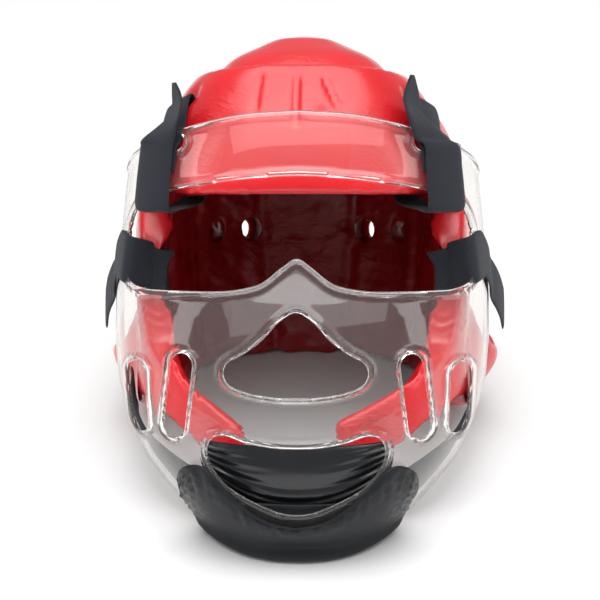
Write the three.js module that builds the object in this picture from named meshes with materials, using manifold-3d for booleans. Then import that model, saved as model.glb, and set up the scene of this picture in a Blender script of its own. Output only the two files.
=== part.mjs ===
// Sparring headgear: a dipped foam shell with a clear face shield, held on by webbing straps.
// Millimetres. The pieces are modelled as worn: x to the wearer's left, the face towards -y, z up,
// with the origin between the ears. The group at the end leans them back onto chin and nape.
import * as THREE from 'three';
import Module from 'manifold-3d';
import { mergeVertices } from 'three/addons/utils/BufferGeometryUtils.js';

// Driving sizes of the foam shell, outside, from the point between the ears
const SHELL = { halfWidth: 103, front: 104, back: 114, crown: 167, chin: 82, wall: 22 };
const RIDGE_DROP = 18;
const EAR = { bulge: 19, roomInside: 13, radius: 40, azimuth: 98, height: -24, hole: 9, behind: 12 };
const FACE = { top: 66, pads: -62, flapGap: 30 };
const BACK_HOLE = { radius: 7, height: 42, inner: 40, outer: 63 };
const CROWN_SLOT = { width: 17, from: 34, to: 53.5, share: 0.74 };

// Driving sizes of the clear shield
const SHIELD = {
  top: 112.5, bottom: 131, wall: 2.2, sideGap: 3.5, flare: 7, browGap: 5, bulge: 31, end: 77, rim: 6.5,
};
const NOSE = { halfWidth: 39, height: 45, top: 2 };
const MOUTH = { halfWidth: 48.5, height: 44, top: -64.5 };
const EYES = { halfWidth: 99.5, height: 63, top: 76 };
const SLOTS = { length: 47, width: 12.5, innerX: 65, innerZ: -44, outerX: 91, outerZ: -48 };
const BROW_SLOT = { width: 33, height: 11, middle: 96 };

// Driving sizes of the soft fittings
const BROW_STRAP = { width: 28, thick: 1.6, azimuth: 43.5, tail: 31 };
const SIDE_STRAP = { width: 24, thick: 1.8, height: 32.5, fall: 36, tail: 91 };
const CHIN_STRAP = { width: 25, thick: 2, anchor: 80 };
const CHIN = {
  cover: 3, swell: 3, pad: 8, halfAngle: 33, padAngle: 24, inside: 26, clear: 0.9, flat: 0.6,
};

// Fits, and the lean of the resting headgear
const TOUCH = 0.35;
const LEAN = 25;
const PLAN_POWER = 2.6;
const COLUMNS = 48;
const OUTSIDE = 200;

const wasm = await Module();
wasm.setup();

const rad = THREE.MathUtils.degToRad;
const mix = THREE.MathUtils.lerp;

/** Distance from the upright axis to a rounded-box plan curve at an azimuth (0 is the face). */
function reach(halfWidth, depth, azimuth) {
  const across = Math.abs(Math.sin(azimuth) / halfWidth) ** PLAN_POWER;
  const along = Math.abs(Math.cos(azimuth) / depth) ** PLAN_POWER;
  return (across + along) ** (-1 / PLAN_POWER);
}

/** Point at a distance from the axis, an azimuth and a height. */
function polar(radius, azimuth, z) {
  return new THREE.Vector3(radius * Math.sin(azimuth), -radius * Math.cos(azimuth), z);
}

/** Smooth value of one named column of a table at a place between its rows. */
function column(table, key, name, at) {
  const last = table.length - 1;
  let i = 0;
  while (i < last - 1 && (table[i + 1][key] - at) * Math.sign(table[last][key] - table[0][key]) < 0) i += 1;
  const span = table[i + 1][key] - table[i][key];
  const t = THREE.MathUtils.clamp((at - table[i][key]) / span, 0, 1);
  const before = table[Math.max(i - 1, 0)];
  const after = table[Math.min(i + 2, last)];
  const slopeA = (table[i + 1][name] - before[name]) / (table[i + 1][key] - before[key]);
  const slopeB = (after[name] - table[i][name]) / (after[key] - table[i][key]);
  const a = table[i][name];
  const b = table[i + 1][name];
  const hermite = (2 * t ** 3 - 3 * t ** 2 + 1) * a + (3 * t ** 2 - 2 * t ** 3) * b;
  return hermite + span * ((t ** 3 - 2 * t ** 2 + t) * slopeA + (t ** 3 - t ** 2) * slopeB);
}

// Rows given by columns: turns ['a b c', [1, 2, 3], ...] into objects with those names
function rows(names, ...values) {
  const keys = names.split(' ');
  return values.map((row) => Object.fromEntries(keys.map((key, k) => [key, row[k]])));
}

// Closed meshes

function geometryOf(points, triangles) {
  const geometry = new THREE.BufferGeometry();
  const numbers = points.flatMap((p) => [p.x, p.y, p.z]);
  geometry.setAttribute('position', new THREE.Float32BufferAttribute(numbers, 3));
  geometry.setIndex(triangles);
  return geometry;
}

/** Closed skin over rings of equal length, from one pole point to another. */
function skinOverRings(rings, poleA, poleB) {
  const n = rings[0].length;
  const points = [...rings.flat(), poleA, poleB];
  const triangles = [];
  for (let i = 0; i < rings.length - 1; i += 1) {
    for (let j = 0; j < n; j += 1) {
      const k = (j + 1) % n;
      triangles.push(i * n + j, (i + 1) * n + k, i * n + k, i * n + j, (i + 1) * n + j, (i + 1) * n + k);
    }
  }
  const end = (rings.length - 1) * n;
  for (let j = 0; j < n; j += 1) {
    const k = (j + 1) % n;
    triangles.push(rings.length * n, j, k, rings.length * n + 1, end + k, end + j);
  }
  return geometryOf(points, triangles);
}

/** Closed slab between two sheets of points, given row by row. */
function slab(sheetA, sheetB) {
  const loops = sheetA.map((row, i) => [...row, ...[...sheetB[i]].reverse()]);
  const n = loops[0].length;
  const triangles = [];
  for (let i = 0; i < loops.length - 1; i += 1) {
    for (let j = 0; j < n; j += 1) {
      const k = (j + 1) % n;
      triangles.push(i * n + j, (i + 1) * n + k, i * n + k, i * n + j, (i + 1) * n + j, (i + 1) * n + k);
    }
  }
  const end = (loops.length - 1) * n;
  for (let j = 0; j < n / 2 - 1; j += 1) {
    const far = n - 1 - j;
    triangles.push(j, j + 1, far, j + 1, far - 1, far);
    triangles.push(end + j, end + far, end + j + 1, end + j + 1, end + far, end + far - 1);
  }
  return geometryOf(loops.flat(), triangles);
}

/** The solid of a closed geometry, for cutting. */
function solid(geometry) {
  const bare = geometry.clone();
  bare.deleteAttribute('normal');
  bare.deleteAttribute('uv');
  const merged = mergeVertices(bare, 1e-4);
  return new wasm.Manifold(new wasm.Mesh({
    numProp: 3,
    vertProperties: Float32Array.from(merged.attributes.position.array),
    triVerts: Uint32Array.from(merged.index.array),
  }));
}

/** The geometry of a solid. */
function geometryFrom(body) {
  const mesh = body.getMesh();
  const geometry = new THREE.BufferGeometry();
  geometry.setAttribute('position', new THREE.Float32BufferAttribute(mesh.vertProperties, 3));
  geometry.setIndex([...mesh.triVerts]);
  return geometry;
}

const FRONT_VIEW = [new THREE.Vector3(1, 0, 0), new THREE.Vector3(0, 0, 1), new THREE.Vector3(0, -1, 0)];
const SIDE_VIEW = [new THREE.Vector3(0, 1, 0), new THREE.Vector3(0, 0, 1), new THREE.Vector3(1, 0, 0)];
const TOP_VIEW = [new THREE.Vector3(1, 0, 0), new THREE.Vector3(0, 1, 0), new THREE.Vector3(0, 0, 1)];

/** Cutter with an outline seen in one view, between two depths along that view. */
function cutter(outline, view, from, depth) {
  const shape = new THREE.Shape(outline.map((p) => new THREE.Vector2(p[0], p[1])));
  const geometry = new THREE.ExtrudeGeometry(shape, { depth, bevelEnabled: false });
  geometry.translate(0, 0, from);
  geometry.applyMatrix4(new THREE.Matrix4().makeBasis(...view));
  return solid(geometry);
}

/** Smooth closed outline through chosen points. */
function smooth(points, steps) {
  const corners = points.map((p) => new THREE.Vector3(p[0], p[1], 0));
  const curve = new THREE.CatmullRomCurve3(corners, true, 'centripetal');
  return curve.getPoints(steps).slice(0, -1).map((p) => [p.x, p.y]);
}

/** Outline whose right half is chosen and whose left half mirrors it. */
function mirrored(half, steps) {
  const left = half.slice(1, -1).reverse().map((p) => [-p[0], p[1]]);
  return smooth([...half, ...left], steps);
}

/** Stadium outline about a centre, leaning by some degrees. */
function stadium(x, y, width, length, lean) {
  const points = [];
  const round = 6;
  for (let i = 0; i <= 2 * round + 1; i += 1) {
    const upper = i <= round;
    const turn = Math.PI * (upper ? i / round : (i - 1) / round);
    const u = (width / 2) * Math.cos(turn);
    const v = (width / 2) * Math.sin(turn) + (upper ? 1 : -1) * (length - width) / 2;
    points.push([x + u * Math.cos(lean) - v * Math.sin(lean), y + u * Math.sin(lean) + v * Math.cos(lean)]);
  }
  return points;
}

// Foam shell: outer sections from the lower edge to the crown.
// Columns: height as a share of the crown, fall of the ridge, then width, front and back shares.
const OUTER = rows(
  'height fall width front back',
  [-0.2, 0, 0.99, 1, 0.965],
  [0, 0, 1, 1, 0.985],
  [0.18, 0, 1, 1, 1],
  [0.34, 0, 0.98, 1, 0.99],
  [0.45, 0, 0.95, 1, 0.965],
  [0.545, 0, 0.905, 0.985, 0.93],
  [0.625, 0.2, 0.855, 0.955, 0.89],
  [0.69, 0.45, 0.8, 0.915, 0.84],
  [0.745, 0.7, 0.745, 0.865, 0.79],
  [0.8, 0.9, 0.69, 0.81, 0.74],
  [0.83, 1, 0.62, 0.745, 0.67],
  [0.8, 0.8, 0.56, 0.665, 0.6],
  [0.845, 0.3, 0.5, 0.56, 0.54],
  [0.905, 0, 0.4, 0.45, 0.43],
  [0.95, 0, 0.285, 0.32, 0.31],
  [0.985, 0, 0.17, 0.19, 0.18],
);
// Inner sections of the hollow, with height as a share of the hollow's crown
const INNER = rows(
  'height width front back',
  [-0.22, 1, 1.36, 0.975],
  [0, 1, 1.36, 1],
  [0.25, 1, 1.33, 1],
  [0.37, 0.99, 1.16, 0.99],
  [0.46, 0.97, 1.01, 0.97],
  [0.56, 0.935, 0.98, 0.935],
  [0.67, 0.865, 0.92, 0.865],
  [0.775, 0.755, 0.82, 0.765],
  [0.86, 0.615, 0.67, 0.625],
  [0.93, 0.44, 0.48, 0.45],
  [0.98, 0.25, 0.27, 0.25],
);
// Lower edge of the shell round the head: azimuth in degrees and height as a share of the chin size
const HEM = rows(
  'azimuth height',
  [0, -1],
  [22, -1],
  [33, -0.9],
  [42, -0.77],
  [52, -0.68],
  [66, -0.66],
  [82, -0.78],
  [98, -0.8],
  [118, -0.7],
  [145, -0.55],
  [180, -0.51],
);

/** How far the ear cup swells out at an azimuth and a height, from 0 to 1. */
function earSwell(azimuth, z) {
  const along = (Math.abs(azimuth) - rad(EAR.azimuth)) * SHELL.halfWidth;
  const away = Math.hypot(along, z - EAR.height) / EAR.radius;
  return away < 1 ? (1 + Math.cos(Math.PI * away)) / 2 : 0;
}

function shellOuterRadius(row, azimuth) {
  const depth = Math.cos(azimuth) > 0 ? SHELL.front * row.front : SHELL.back * row.back;
  return reach(SHELL.halfWidth * row.width, depth, azimuth);
}

function shellInnerRadius(row, azimuth) {
  const inFront = Math.cos(azimuth) > 0;
  const depth = inFront ? (SHELL.front - SHELL.wall) * row.front : (SHELL.back - SHELL.wall) * row.back;
  return reach((SHELL.halfWidth - SHELL.wall) * row.width, depth, azimuth);
}

function hemHeight(azimuth) {
  return SHELL.chin * column(HEM, 'azimuth', 'height', Math.abs(THREE.MathUtils.radToDeg(azimuth)));
}

function ringAzimuths() {
  return Array.from({ length: COLUMNS }, (_, j) => -Math.PI + (2 * Math.PI * j) / COLUMNS);
}

/** How far the ridge drops at an azimuth: nothing over the face, most at the nape. */
function ridgeDrop(fall, azimuth) {
  return RIDGE_DROP * fall * (1 - Math.cos(azimuth)) / 2;
}

function shellBlank() {
  const azimuths = ringAzimuths();
  const outer = OUTER.map((row, i) => azimuths.map((azimuth) => {
    const z = i === 0 ? hemHeight(azimuth) : SHELL.crown * row.height - ridgeDrop(row.fall, azimuth);
    const radius = shellOuterRadius(row, azimuth) + EAR.bulge * earSwell(azimuth, z);
    return polar(radius, azimuth, z);
  }));
  const hollow = SHELL.crown - SHELL.wall;
  const inner = INNER.map((row, i) => azimuths.map((azimuth) => {
    const z = i === 0 ? hemHeight(azimuth) + 4 : hollow * row.height;
    const radius = shellInnerRadius(row, azimuth) + EAR.roomInside * earSwell(azimuth, z);
    return polar(radius, azimuth, z);
  }));
  const outerMid = azimuths.map((azimuth) => {
    const z = SHELL.crown * -0.2;
    return polar(shellOuterRadius(OUTER[0], azimuth) + EAR.bulge * earSwell(azimuth, z), azimuth, z);
  });
  const innerMid = azimuths.map((azimuth) => {
    const z = hollow * -0.22;
    return polar(shellInnerRadius(INNER[0], azimuth) + EAR.roomInside * earSwell(azimuth, z), azimuth, z);
  });
  const rings = [
    ...outer.slice(1).reverse(), outerMid, outer[0],
    inner[0], innerMid, ...inner.slice(1),
  ];
  const top = new THREE.Vector3(0, 0, SHELL.crown);
  return solid(skinOverRings(rings, top, new THREE.Vector3(0, 0, hollow)));
}

// Face opening seen from the side: depth and height, from the brow down the cheek pads to the jaw flaps
function faceCutter() {
  const outline = [
    [-OUTSIDE, FACE.top],
    [FACE.pads + 11, FACE.top],
    [FACE.pads + 15, FACE.top - 5],
    [FACE.pads + 12, FACE.top - 15],
    [FACE.pads + 4, FACE.top - 28],
    [FACE.pads, FACE.top - 42],
    [FACE.pads, -6],
    [FACE.pads - 5, -18],
    [FACE.pads - 17, -35],
    [FACE.pads - 33, -52],
    [FACE.pads - 44, -66],
    [-OUTSIDE, -74],
  ];
  return cutter(outline, SIDE_VIEW, -OUTSIDE, 2 * OUTSIDE);
}

/** Round hole through the wall of the shell at a place, along x or y. */
function roundHole(radius, place, axis) {
  const length = 2 * (SHELL.wall + EAR.bulge + EAR.roomInside);
  const hole = new THREE.CylinderGeometry(radius, radius, length, 14);
  if (axis === 'x') hole.rotateZ(Math.PI / 2);
  hole.translate(place.x, place.y, place.z);
  return solid(hole);
}

/** Curved slot in the crown behind the forehead pad, seen from above. */
function crownSlot(side) {
  const steps = 7;
  const middle = (azimuth) => reach(SHELL.halfWidth, SHELL.front, azimuth) * CROWN_SLOT.share;
  const edge = (out) => Array.from({ length: steps }, (_, i) => {
    const azimuth = rad(mix(CROWN_SLOT.from, CROWN_SLOT.to, i / (steps - 1)));
    const p = polar(middle(azimuth) + out * CROWN_SLOT.width / 2, azimuth, 0);
    return [side * p.x, p.y];
  });
  return cutter([...edge(1), ...edge(-1).reverse()], TOP_VIEW, SHELL.crown * 0.3, SHELL.crown);
}

/** How far a point lies above the origin, measured square to the floor of the leaning headgear. */
function heightOverFloor(y, z) {
  return z * Math.cos(rad(LEAN)) - y * Math.sin(rad(LEAN));
}

/** The part of a solid above a floor at a level. */
function aboveFloor(body, level) {
  const size = 600;
  const block = new THREE.BoxGeometry(size, size, size);
  block.translate(0, 0, size / 2 + level);
  block.rotateX(rad(LEAN));
  return body.intersect(solid(block));
}

function headgearShell(floor) {
  let body = shellBlank().subtract(faceCutter());
  const tipGap = [
    [-FACE.flapGap, -50], [FACE.flapGap, -50], [FACE.flapGap + 4, -120], [-FACE.flapGap - 4, -120],
  ];
  body = body.subtract(cutter(tipGap, FRONT_VIEW, 20, OUTSIDE));
  for (const side of [-1, 1]) {
    const ear = new THREE.Vector3(side * SHELL.halfWidth, EAR.behind, EAR.height + 4);
    body = body.subtract(roundHole(EAR.hole, ear, 'x'));
    for (const x of [BACK_HOLE.inner, BACK_HOLE.outer]) {
      const nape = new THREE.Vector3(side * x, SHELL.back - SHELL.wall, BACK_HOLE.height);
      body = body.subtract(roundHole(BACK_HOLE.radius, nape, 'y'));
    }
    body = body.subtract(crownSlot(side));
  }
  return geometryFrom(aboveFloor(body, floor));
}

// Clear shield. Columns: height as a share of its top or bottom size, flare to the side and bulge to
// the front as shares of those sizes, and narrowing towards the chin
const SHIELD_ROWS = rows(
  'height flare bulge taper',
  [1, 0, -0.2, 0.945],
  [0.84, 0, -0.08, 0.975],
  [0.68, 0.1, 0, 1],
  [0.45, 0.5, 0.16, 1],
  [0.22, 0.85, 0.42, 1],
  [0.04, 1, 0.71, 1],
  [-0.16, 1, 0.93, 1],
  [-0.35, 0.9, 1, 0.985],
  [-0.47, 0.7, 0.97, 0.96],
  [-0.58, 0.5, 0.9, 0.925],
  [-0.67, 0.3, 0.84, 0.88],
  [-0.78, 0, 0.71, 0.795],
  [-0.87, 0, 0.55, 0.7],
  [-0.95, 0, 0.32, 0.61],
  [-1, 0, 0.14, 0.56],
);
// Lower edge of the shield: azimuth in degrees and height as a share of its bottom size
const SHIELD_EDGE = rows(
  'azimuth height',
  [0, -1],
  [12, -0.99],
  [22, -0.955],
  [32, -0.905],
  [42, -0.84],
  [52, -0.76],
  [60, -0.68],
  [68, -0.58],
  [77, -0.44],
);
// Upper edge of the shield from the middle to the side: x as a share of its half width, and height
const SHIELD_TOP = rows(
  'x height',
  [0, 1],
  [0.28, 0.98],
  [0.53, 0.928],
  [0.7, 0.885],
  [0.82, 0.83],
  [0.91, 0.765],
  [1.02, 0.6],
);

/** Half width of the shield at a flare: clear of the shell, and a rim wider than the eye opening. */
function shieldHalf(flare) {
  return Math.max(SHELL.halfWidth + SHIELD.sideGap + flare, EYES.halfWidth + SHIELD.rim);
}
const shieldHalfWidth = shieldHalf(SHIELD.flare);

/** Outer radius of the shield at a share of its height and an azimuth. */
function shieldRadius(share, azimuth) {
  const flare = SHIELD.flare * column(SHIELD_ROWS, 'height', 'flare', share);
  const bulge = SHIELD.bulge * column(SHIELD_ROWS, 'height', 'bulge', share);
  const width = shieldHalf(flare) * column(SHIELD_ROWS, 'height', 'taper', share);
  return reach(width, SHELL.front + SHIELD.browGap + bulge, azimuth);
}

/** Share of the shield's height at a height above the ears. */
function shieldShare(z) {
  return z / (z > 0 ? SHIELD.top : SHIELD.bottom);
}

/** Height of the shield's lower edge at an azimuth. */
function shieldEdge(azimuth) {
  const turn = Math.min(SHIELD.end, Math.abs(THREE.MathUtils.radToDeg(azimuth)));
  return SHIELD.bottom * column(SHIELD_EDGE, 'azimuth', 'height', turn);
}

function shieldBlank() {
  const across = 32;
  const down = 20;
  const end = rad(SHIELD.end);
  const sheet = (inset) => Array.from({ length: down + 1 }, (_, i) => (
    Array.from({ length: across + 1 }, (__, j) => {
      const azimuth = mix(-end, end, j / across);
      const z = mix(SHIELD.top, shieldEdge(azimuth), i / down);
      return polar(shieldRadius(shieldShare(z), azimuth) - inset, azimuth, z);
    })
  ));
  return solid(slab(sheet(0), sheet(SHIELD.wall)));
}

/** Part of the front view above the shield's upper edge. */
function shieldTopCutter() {
  const edge = [];
  const steps = 24;
  for (let i = -steps; i <= steps; i += 1) {
    const x = (1.02 * i) / steps;
    edge.push([x * shieldHalfWidth, SHIELD.top * column(SHIELD_TOP, 'x', 'height', Math.abs(x))]);
  }
  const reachOut = 2 * shieldHalfWidth;
  return cutter([...edge, [reachOut, edge[0][1]], [reachOut, OUTSIDE], [-reachOut, OUTSIDE],
    [-reachOut, edge[0][1]]], FRONT_VIEW, 0, OUTSIDE);
}

// Half outlines of the openings as shares of their own half width and height, from the top middle round
const noseHalf = [
  [0, 0], [0.23, -0.11], [0.47, -0.33], [0.72, -0.49], [0.95, -0.61], [1, -0.72], [0.92, -0.85],
  [0.7, -0.93], [0.36, -0.985], [0, -1],
];
const mouthHalf = [
  [0, -0.15], [0.28, -0.135], [0.55, -0.08], [0.8, 0], [0.95, -0.05], [1, -0.23], [0.9, -0.49],
  [0.73, -0.68], [0.43, -0.865], [0.17, -0.98], [0, -1],
];
const eyeHalf = [
  [0, 0], [0.24, -0.02], [0.47, -0.063], [0.66, -0.11], [0.8, -0.145], [0.89, -0.2], [0.945, -0.3],
  [0.985, -0.45], [1, -0.62], [1, -0.8], [0.98, -0.93], [0.89, -0.99], [0.74, -1], [0.58, -1],
  [0.38, -0.99], [0.2, -0.93], [0.08, -0.79], [0, -0.715],
];

function opening(half, size, steps) {
  return mirrored(half.map(([u, v]) => [u * size.halfWidth, size.top + v * size.height]), steps);
}

function faceShield() {
  let body = shieldBlank().subtract(shieldTopCutter());
  const outlines = [
    opening(noseHalf, NOSE, 28),
    opening(mouthHalf, MOUTH, 32),
    opening(eyeHalf, EYES, 50),
  ];
  for (const side of [-1, 1]) {
    const { width, length, innerX, innerZ, outerX, outerZ } = SLOTS;
    outlines.push(stadium(side * innerX, innerZ, width, length, side * rad(8)));
    outlines.push(stadium(side * outerX, outerZ, width, 0.87 * length, side * rad(-2)));
  }
  for (const outline of outlines) {
    body = body.subtract(cutter(outline, FRONT_VIEW, 20, OUTSIDE));
  }
  for (const side of [-1, 1]) body = body.subtract(browSlot(side));
  return geometryFrom(body);
}

/** Slot in the brow bar that a strap passes through, cut square to the bar. */
function browSlot(side) {
  const block = new THREE.BoxGeometry(BROW_SLOT.width, 60, BROW_SLOT.height);
  block.translate(0, -shieldRadius(shieldShare(BROW_SLOT.middle), rad(BROW_STRAP.azimuth)), BROW_SLOT.middle);
  block.rotateZ(side * rad(BROW_STRAP.azimuth));
  return solid(block);
}

/** Both faces of a webbing strap from its middle lines: each line is one lengthwise row of points. */
function strapFaces(lines, thick) {
  const along = (line, i) => line[Math.min(i + 1, line.length - 1)].clone().sub(line[Math.max(i - 1, 0)]);
  const face = (out) => lines[0].map((_, i) => lines.map((line, j) => {
    const across = lines[Math.min(j + 1, lines.length - 1)][i].clone().sub(lines[Math.max(j - 1, 0)][i]);
    const normal = along(line, i).cross(across).normalize();
    return line[i].clone().addScaledVector(normal, (out * thick) / 2);
  }));
  return slab(face(1), face(-1));
}

const shellRow = (table, names, share) => Object.fromEntries(
  names.map((name) => [name, column(table, 'height', name, share)]),
);
const facePad = OUTER.slice(0, 11);

/** Outer radius of the forehead pad at a height, up to its ridge. */
function padOuter(z, azimuth) {
  let share = z / SHELL.crown;
  for (let turn = 0; turn < 3; turn += 1) {
    share = (z + ridgeDrop(column(facePad, 'height', 'fall', share), azimuth)) / SHELL.crown;
  }
  return shellOuterRadius(shellRow(facePad, ['width', 'front', 'back'], share), azimuth);
}

/** Height at which the forehead pad has a given outer radius. */
function padHeight(radius, azimuth) {
  let low = SHELL.crown * 0.5;
  let high = SHELL.crown * 0.83;
  for (let halving = 0; halving < 20; halving += 1) {
    const z = (low + high) / 2;
    if (padOuter(z, azimuth) > radius) low = z;
    else high = z;
  }
  return low;
}

/** Inner radius of the foam at a height. */
function padInner(z, azimuth) {
  const share = z / (SHELL.crown - SHELL.wall);
  return shellInnerRadius(shellRow(INNER, ['width', 'front', 'back'], share), azimuth);
}

const onShield = (z, azimuth) => shieldRadius(shieldShare(z), azimuth);

/** Strap looped round the forehead pad and the shield's brow bar. */
function browStrap(side) {
  const half = BROW_STRAP.thick / 2;
  const lie = half + TOUCH;
  const slot = BROW_SLOT.middle;
  const under = FACE.top - lie - 1;
  const line = (azimuth) => {
    const hole = reach(SHELL.halfWidth, SHELL.front, azimuth) * CROWN_SLOT.share + CROWN_SLOT.width / 2;
    const lip = padHeight(hole, azimuth);
    const inSlot = hole - lie - 1.2;
    const bar = (z) => onShield(z, azimuth);
    const pad = (z) => padOuter(z, azimuth);
    const outerLayer = 3 * lie + 0.3;
    return [
      [bar(slot - 18) + lie, slot - 18],
      [bar(slot - 8) + lie, slot - 8],
      [bar(slot - 4) + lie + 0.1, slot - 4.2],
      [bar(slot) - SHIELD.wall / 2, slot - 0.8],
      [bar(slot) - SHIELD.wall - 2, slot + 2.6],
      [pad(mix(slot, lip, 0.4)) + lie + 0.8, mix(slot, lip, 0.4)],
      [pad(mix(slot, lip, 0.75)) + lie + 0.8, mix(slot, lip, 0.75)],
      [pad(lip - 1) + lie + 0.8, lip],
      [hole + 0.6, lip + lie + 2.4],
      [inSlot, lip + 0.5],
      [inSlot, lip - 8],
      [inSlot, mix(FACE.top, lip, 0.5)],
      [inSlot, FACE.top + 4],
      [inSlot + 2, under - 0.5],
      [inSlot + 9, under - 4],
      [bar(FACE.top) - 8, under - 6],
      [bar(FACE.top) - 0.5, under - 7.5],
      [bar(FACE.top) + outerLayer, under - 4.5],
      [bar(FACE.top + 8) + outerLayer + 0.3, FACE.top + 6],
      [bar(slot - 14) + outerLayer + 0.3, slot - 14],
      [bar(slot - 4) + outerLayer + 0.5, slot - 3],
      [bar(slot + 6) + outerLayer + 0.3, slot + 8],
      [bar(slot) + 1, slot + 18],
      [bar(slot) - 2, slot + 0.85 * BROW_STRAP.tail],
      [bar(slot) - 4.5, slot + 1.1 * BROW_STRAP.tail],
    ].map(([radius, z], i, all) => {
      const tip = Math.max(0, i - (all.length - 4)) / 4;
      const p = polar(radius, mix(azimuth, rad(BROW_STRAP.azimuth), tip), z);
      return new THREE.Vector3(side * p.x, p.y, p.z);
    });
  };
  const spread = BROW_STRAP.width / onShield(slot, rad(BROW_STRAP.azimuth));
  const places = [-0.5, -0.25, 0, 0.25, 0.5].map((w) => rad(BROW_STRAP.azimuth) + side * w * spread);
  return strapFaces(places.map(line), BROW_STRAP.thick);
}

/** Strap from inside the cheek pad round the side of the eye opening, with its tail back outside. */
/** Azimuth at which the shield is a distance out from the middle at a height, found by halving. */
function shieldTurn(x, z) {
  let low = 0;
  let high = rad(SHIELD.end);
  for (let i = 0; i < 30; i += 1) {
    const middle = (low + high) / 2;
    if (onShield(z, middle) * Math.sin(middle) < x) low = middle;
    else high = middle;
  }
  return low;
}

function sideStrap(side) {
  const lie = SIDE_STRAP.thick / 2 + TOUCH;
  const rim = shieldTurn(EYES.halfWidth, SIDE_STRAP.height);
  const frontOfPad = (radius) => Math.acos(Math.min(1, (-FACE.pads + lie + 0.6) / radius));
  const line = (w) => {
    const z0 = SIDE_STRAP.height + w * SIDE_STRAP.width;
    const inner = (azimuth) => padInner(z0, azimuth);
    const outer = (azimuth, z) => onShield(z, azimuth);
    const points = [];
    for (const turn of [86, 76, 66, 58]) points.push(polar(inner(rad(turn)) - lie - 0.8, rad(turn), z0));
    for (const radius of [inner(rad(52)) + 1, inner(rad(52)) + 10, padOuter(z0, rad(56)) - 2]) {
      points.push(polar(radius, frontOfPad(radius), z0));
    }
    for (const [turn, lift] of [[-2.4, -6], [-2.6, 0.5], [-0.9, lie + 1.3], [2.6, lie + 0.8]]) {
      points.push(polar(outer(rim + rad(turn), z0) + lift, rim + rad(turn), z0));
    }
    for (let i = 0; i <= 6; i += 1) {
      const azimuth = mix(rim + rad(6.6), rad(SIDE_STRAP.tail), i / 6);
      const z = z0 - SIDE_STRAP.fall * (i / 6) ** 1.2;
      const lift = i < 4 ? 0.3 : 0.3 + 1.6 * (i - 3);
      points.push(polar(outer(Math.min(azimuth, rad(SHIELD.end)), z) + lie + lift, azimuth, z));
    }
    return points.map((p) => new THREE.Vector3(side * p.x, p.y, p.z));
  };
  return strapFaces([-0.5, 0, 0.5].map((w) => line(-side * w)), SIDE_STRAP.thick);
}

// Chin cup: a leather pocket round the shield's lower edge.
// Its lip outside: azimuth as a share of the cup's half angle, height as a share of the shield's bottom
const CUP_LIP = rows(
  'turn height',
  [0, -0.89],
  [0.22, -0.86],
  [0.42, -0.78],
  [0.54, -0.695],
  [0.64, -0.635],
  [0.78, -0.63],
  [0.92, -0.69],
  [1, -0.78],
);

function chinCup() {
  const steps = 20;
  const down = 6;
  const clear = CHIN.clear;
  const sheet = (layer) => Array.from({ length: steps + 1 }, (_, i) => {
    const turn = (2 * i) / steps - 1;
    const azimuth = turn * rad(CHIN.halfAngle);
    const fade = Math.sqrt(Math.max(0, 1 - turn ** 4));
    const lip = SHIELD.bottom * column(CUP_LIP, 'turn', 'height', Math.abs(turn));
    const edge = shieldEdge(azimuth) - clear;
    const skin = layer * (CHIN.cover + CHIN.swell * fade);
    const path = [];
    for (let k = 0; k <= down; k += 1) {
      const z = mix(lip, edge + 2, k / down);
      const swell = CHIN.swell * fade * Math.sin(Math.PI * Math.min(1, 0.2 + k / down));
      const puff = layer * (CHIN.cover * 0.6 + swell);
      path.push(polar(onShield(z, azimuth) + clear + puff, azimuth, z));
    }
    path.push(polar(onShield(edge, azimuth) + clear + 0.4 * skin, azimuth, edge - 0.75 * skin));
    path.push(polar(onShield(edge, azimuth) - SHIELD.wall / 2 - 0.1 * skin, azimuth, edge - 0.3 - skin));
    path.push(polar(onShield(edge, azimuth) - SHIELD.wall - clear - skin, azimuth, edge - 0.6 * skin));
    for (let k = 1; k <= 4; k += 1) {
      const z = edge + (CHIN.inside * fade * k) / 4 + 2;
      path.push(polar(onShield(z, azimuth) - SHIELD.wall - clear - layer * CHIN.cover, azimuth, z));
    }
    return path;
  });
  return slab(sheet(0), sheet(1));
}

/** Padded vinyl rest inside the cup, with soft folds across it. */
function chinPad() {
  const steps = 16;
  const down = 9;
  const sheet = (layer) => Array.from({ length: steps + 1 }, (_, i) => {
    const turn = (2 * i) / steps - 1;
    const azimuth = turn * rad(CHIN.padAngle);
    const top = mix(-0.66, -0.575, turn ** 2) * SHIELD.bottom;
    const foot = mix(-0.885, -0.79, turn ** 2) * SHIELD.bottom;
    return Array.from({ length: down + 1 }, (__, k) => {
      const z = mix(top, foot, k / down);
      const behind = SHIELD.wall + CHIN.clear + CHIN.cover + 2 * TOUCH + 4.5 * (1 - k / down);
      const fold = Math.abs(Math.sin(1.5 * Math.PI * (k / down)));
      const thick = CHIN.pad * (0.45 + 0.55 * fold) * Math.sqrt(1 - 0.6 * turn ** 4);
      return polar(onShield(z, azimuth) - behind - layer * thick, azimuth, z);
    });
  });
  return slab(sheet(1), sheet(0));
}

// Chin strap: from one ear, below the jaw flap, under the chin pad and round to the other ear.
// Columns: azimuth, height share, space to the shield, how far it lies on the foam and how far it is flat
const CHIN_STRAP_ROUTE = rows(
  'azimuth height inset foam flat',
  [80, -0.4, 0, 1, 0],
  [72, -0.44, 0, 0.8, 0],
  [63, -0.53, 1.5, 0, 0],
  [52, -0.635, 2, 0, 0.05],
  [42, -0.72, 6.5, 0, 0.2],
  [34, -0.8, 12, 0, 0.45],
  [25, -0.865, 15, 0, 0.75],
  [15, -0.92, 17, 0, 0.95],
  [0, -0.935, 18, 0, 1],
);

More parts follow.
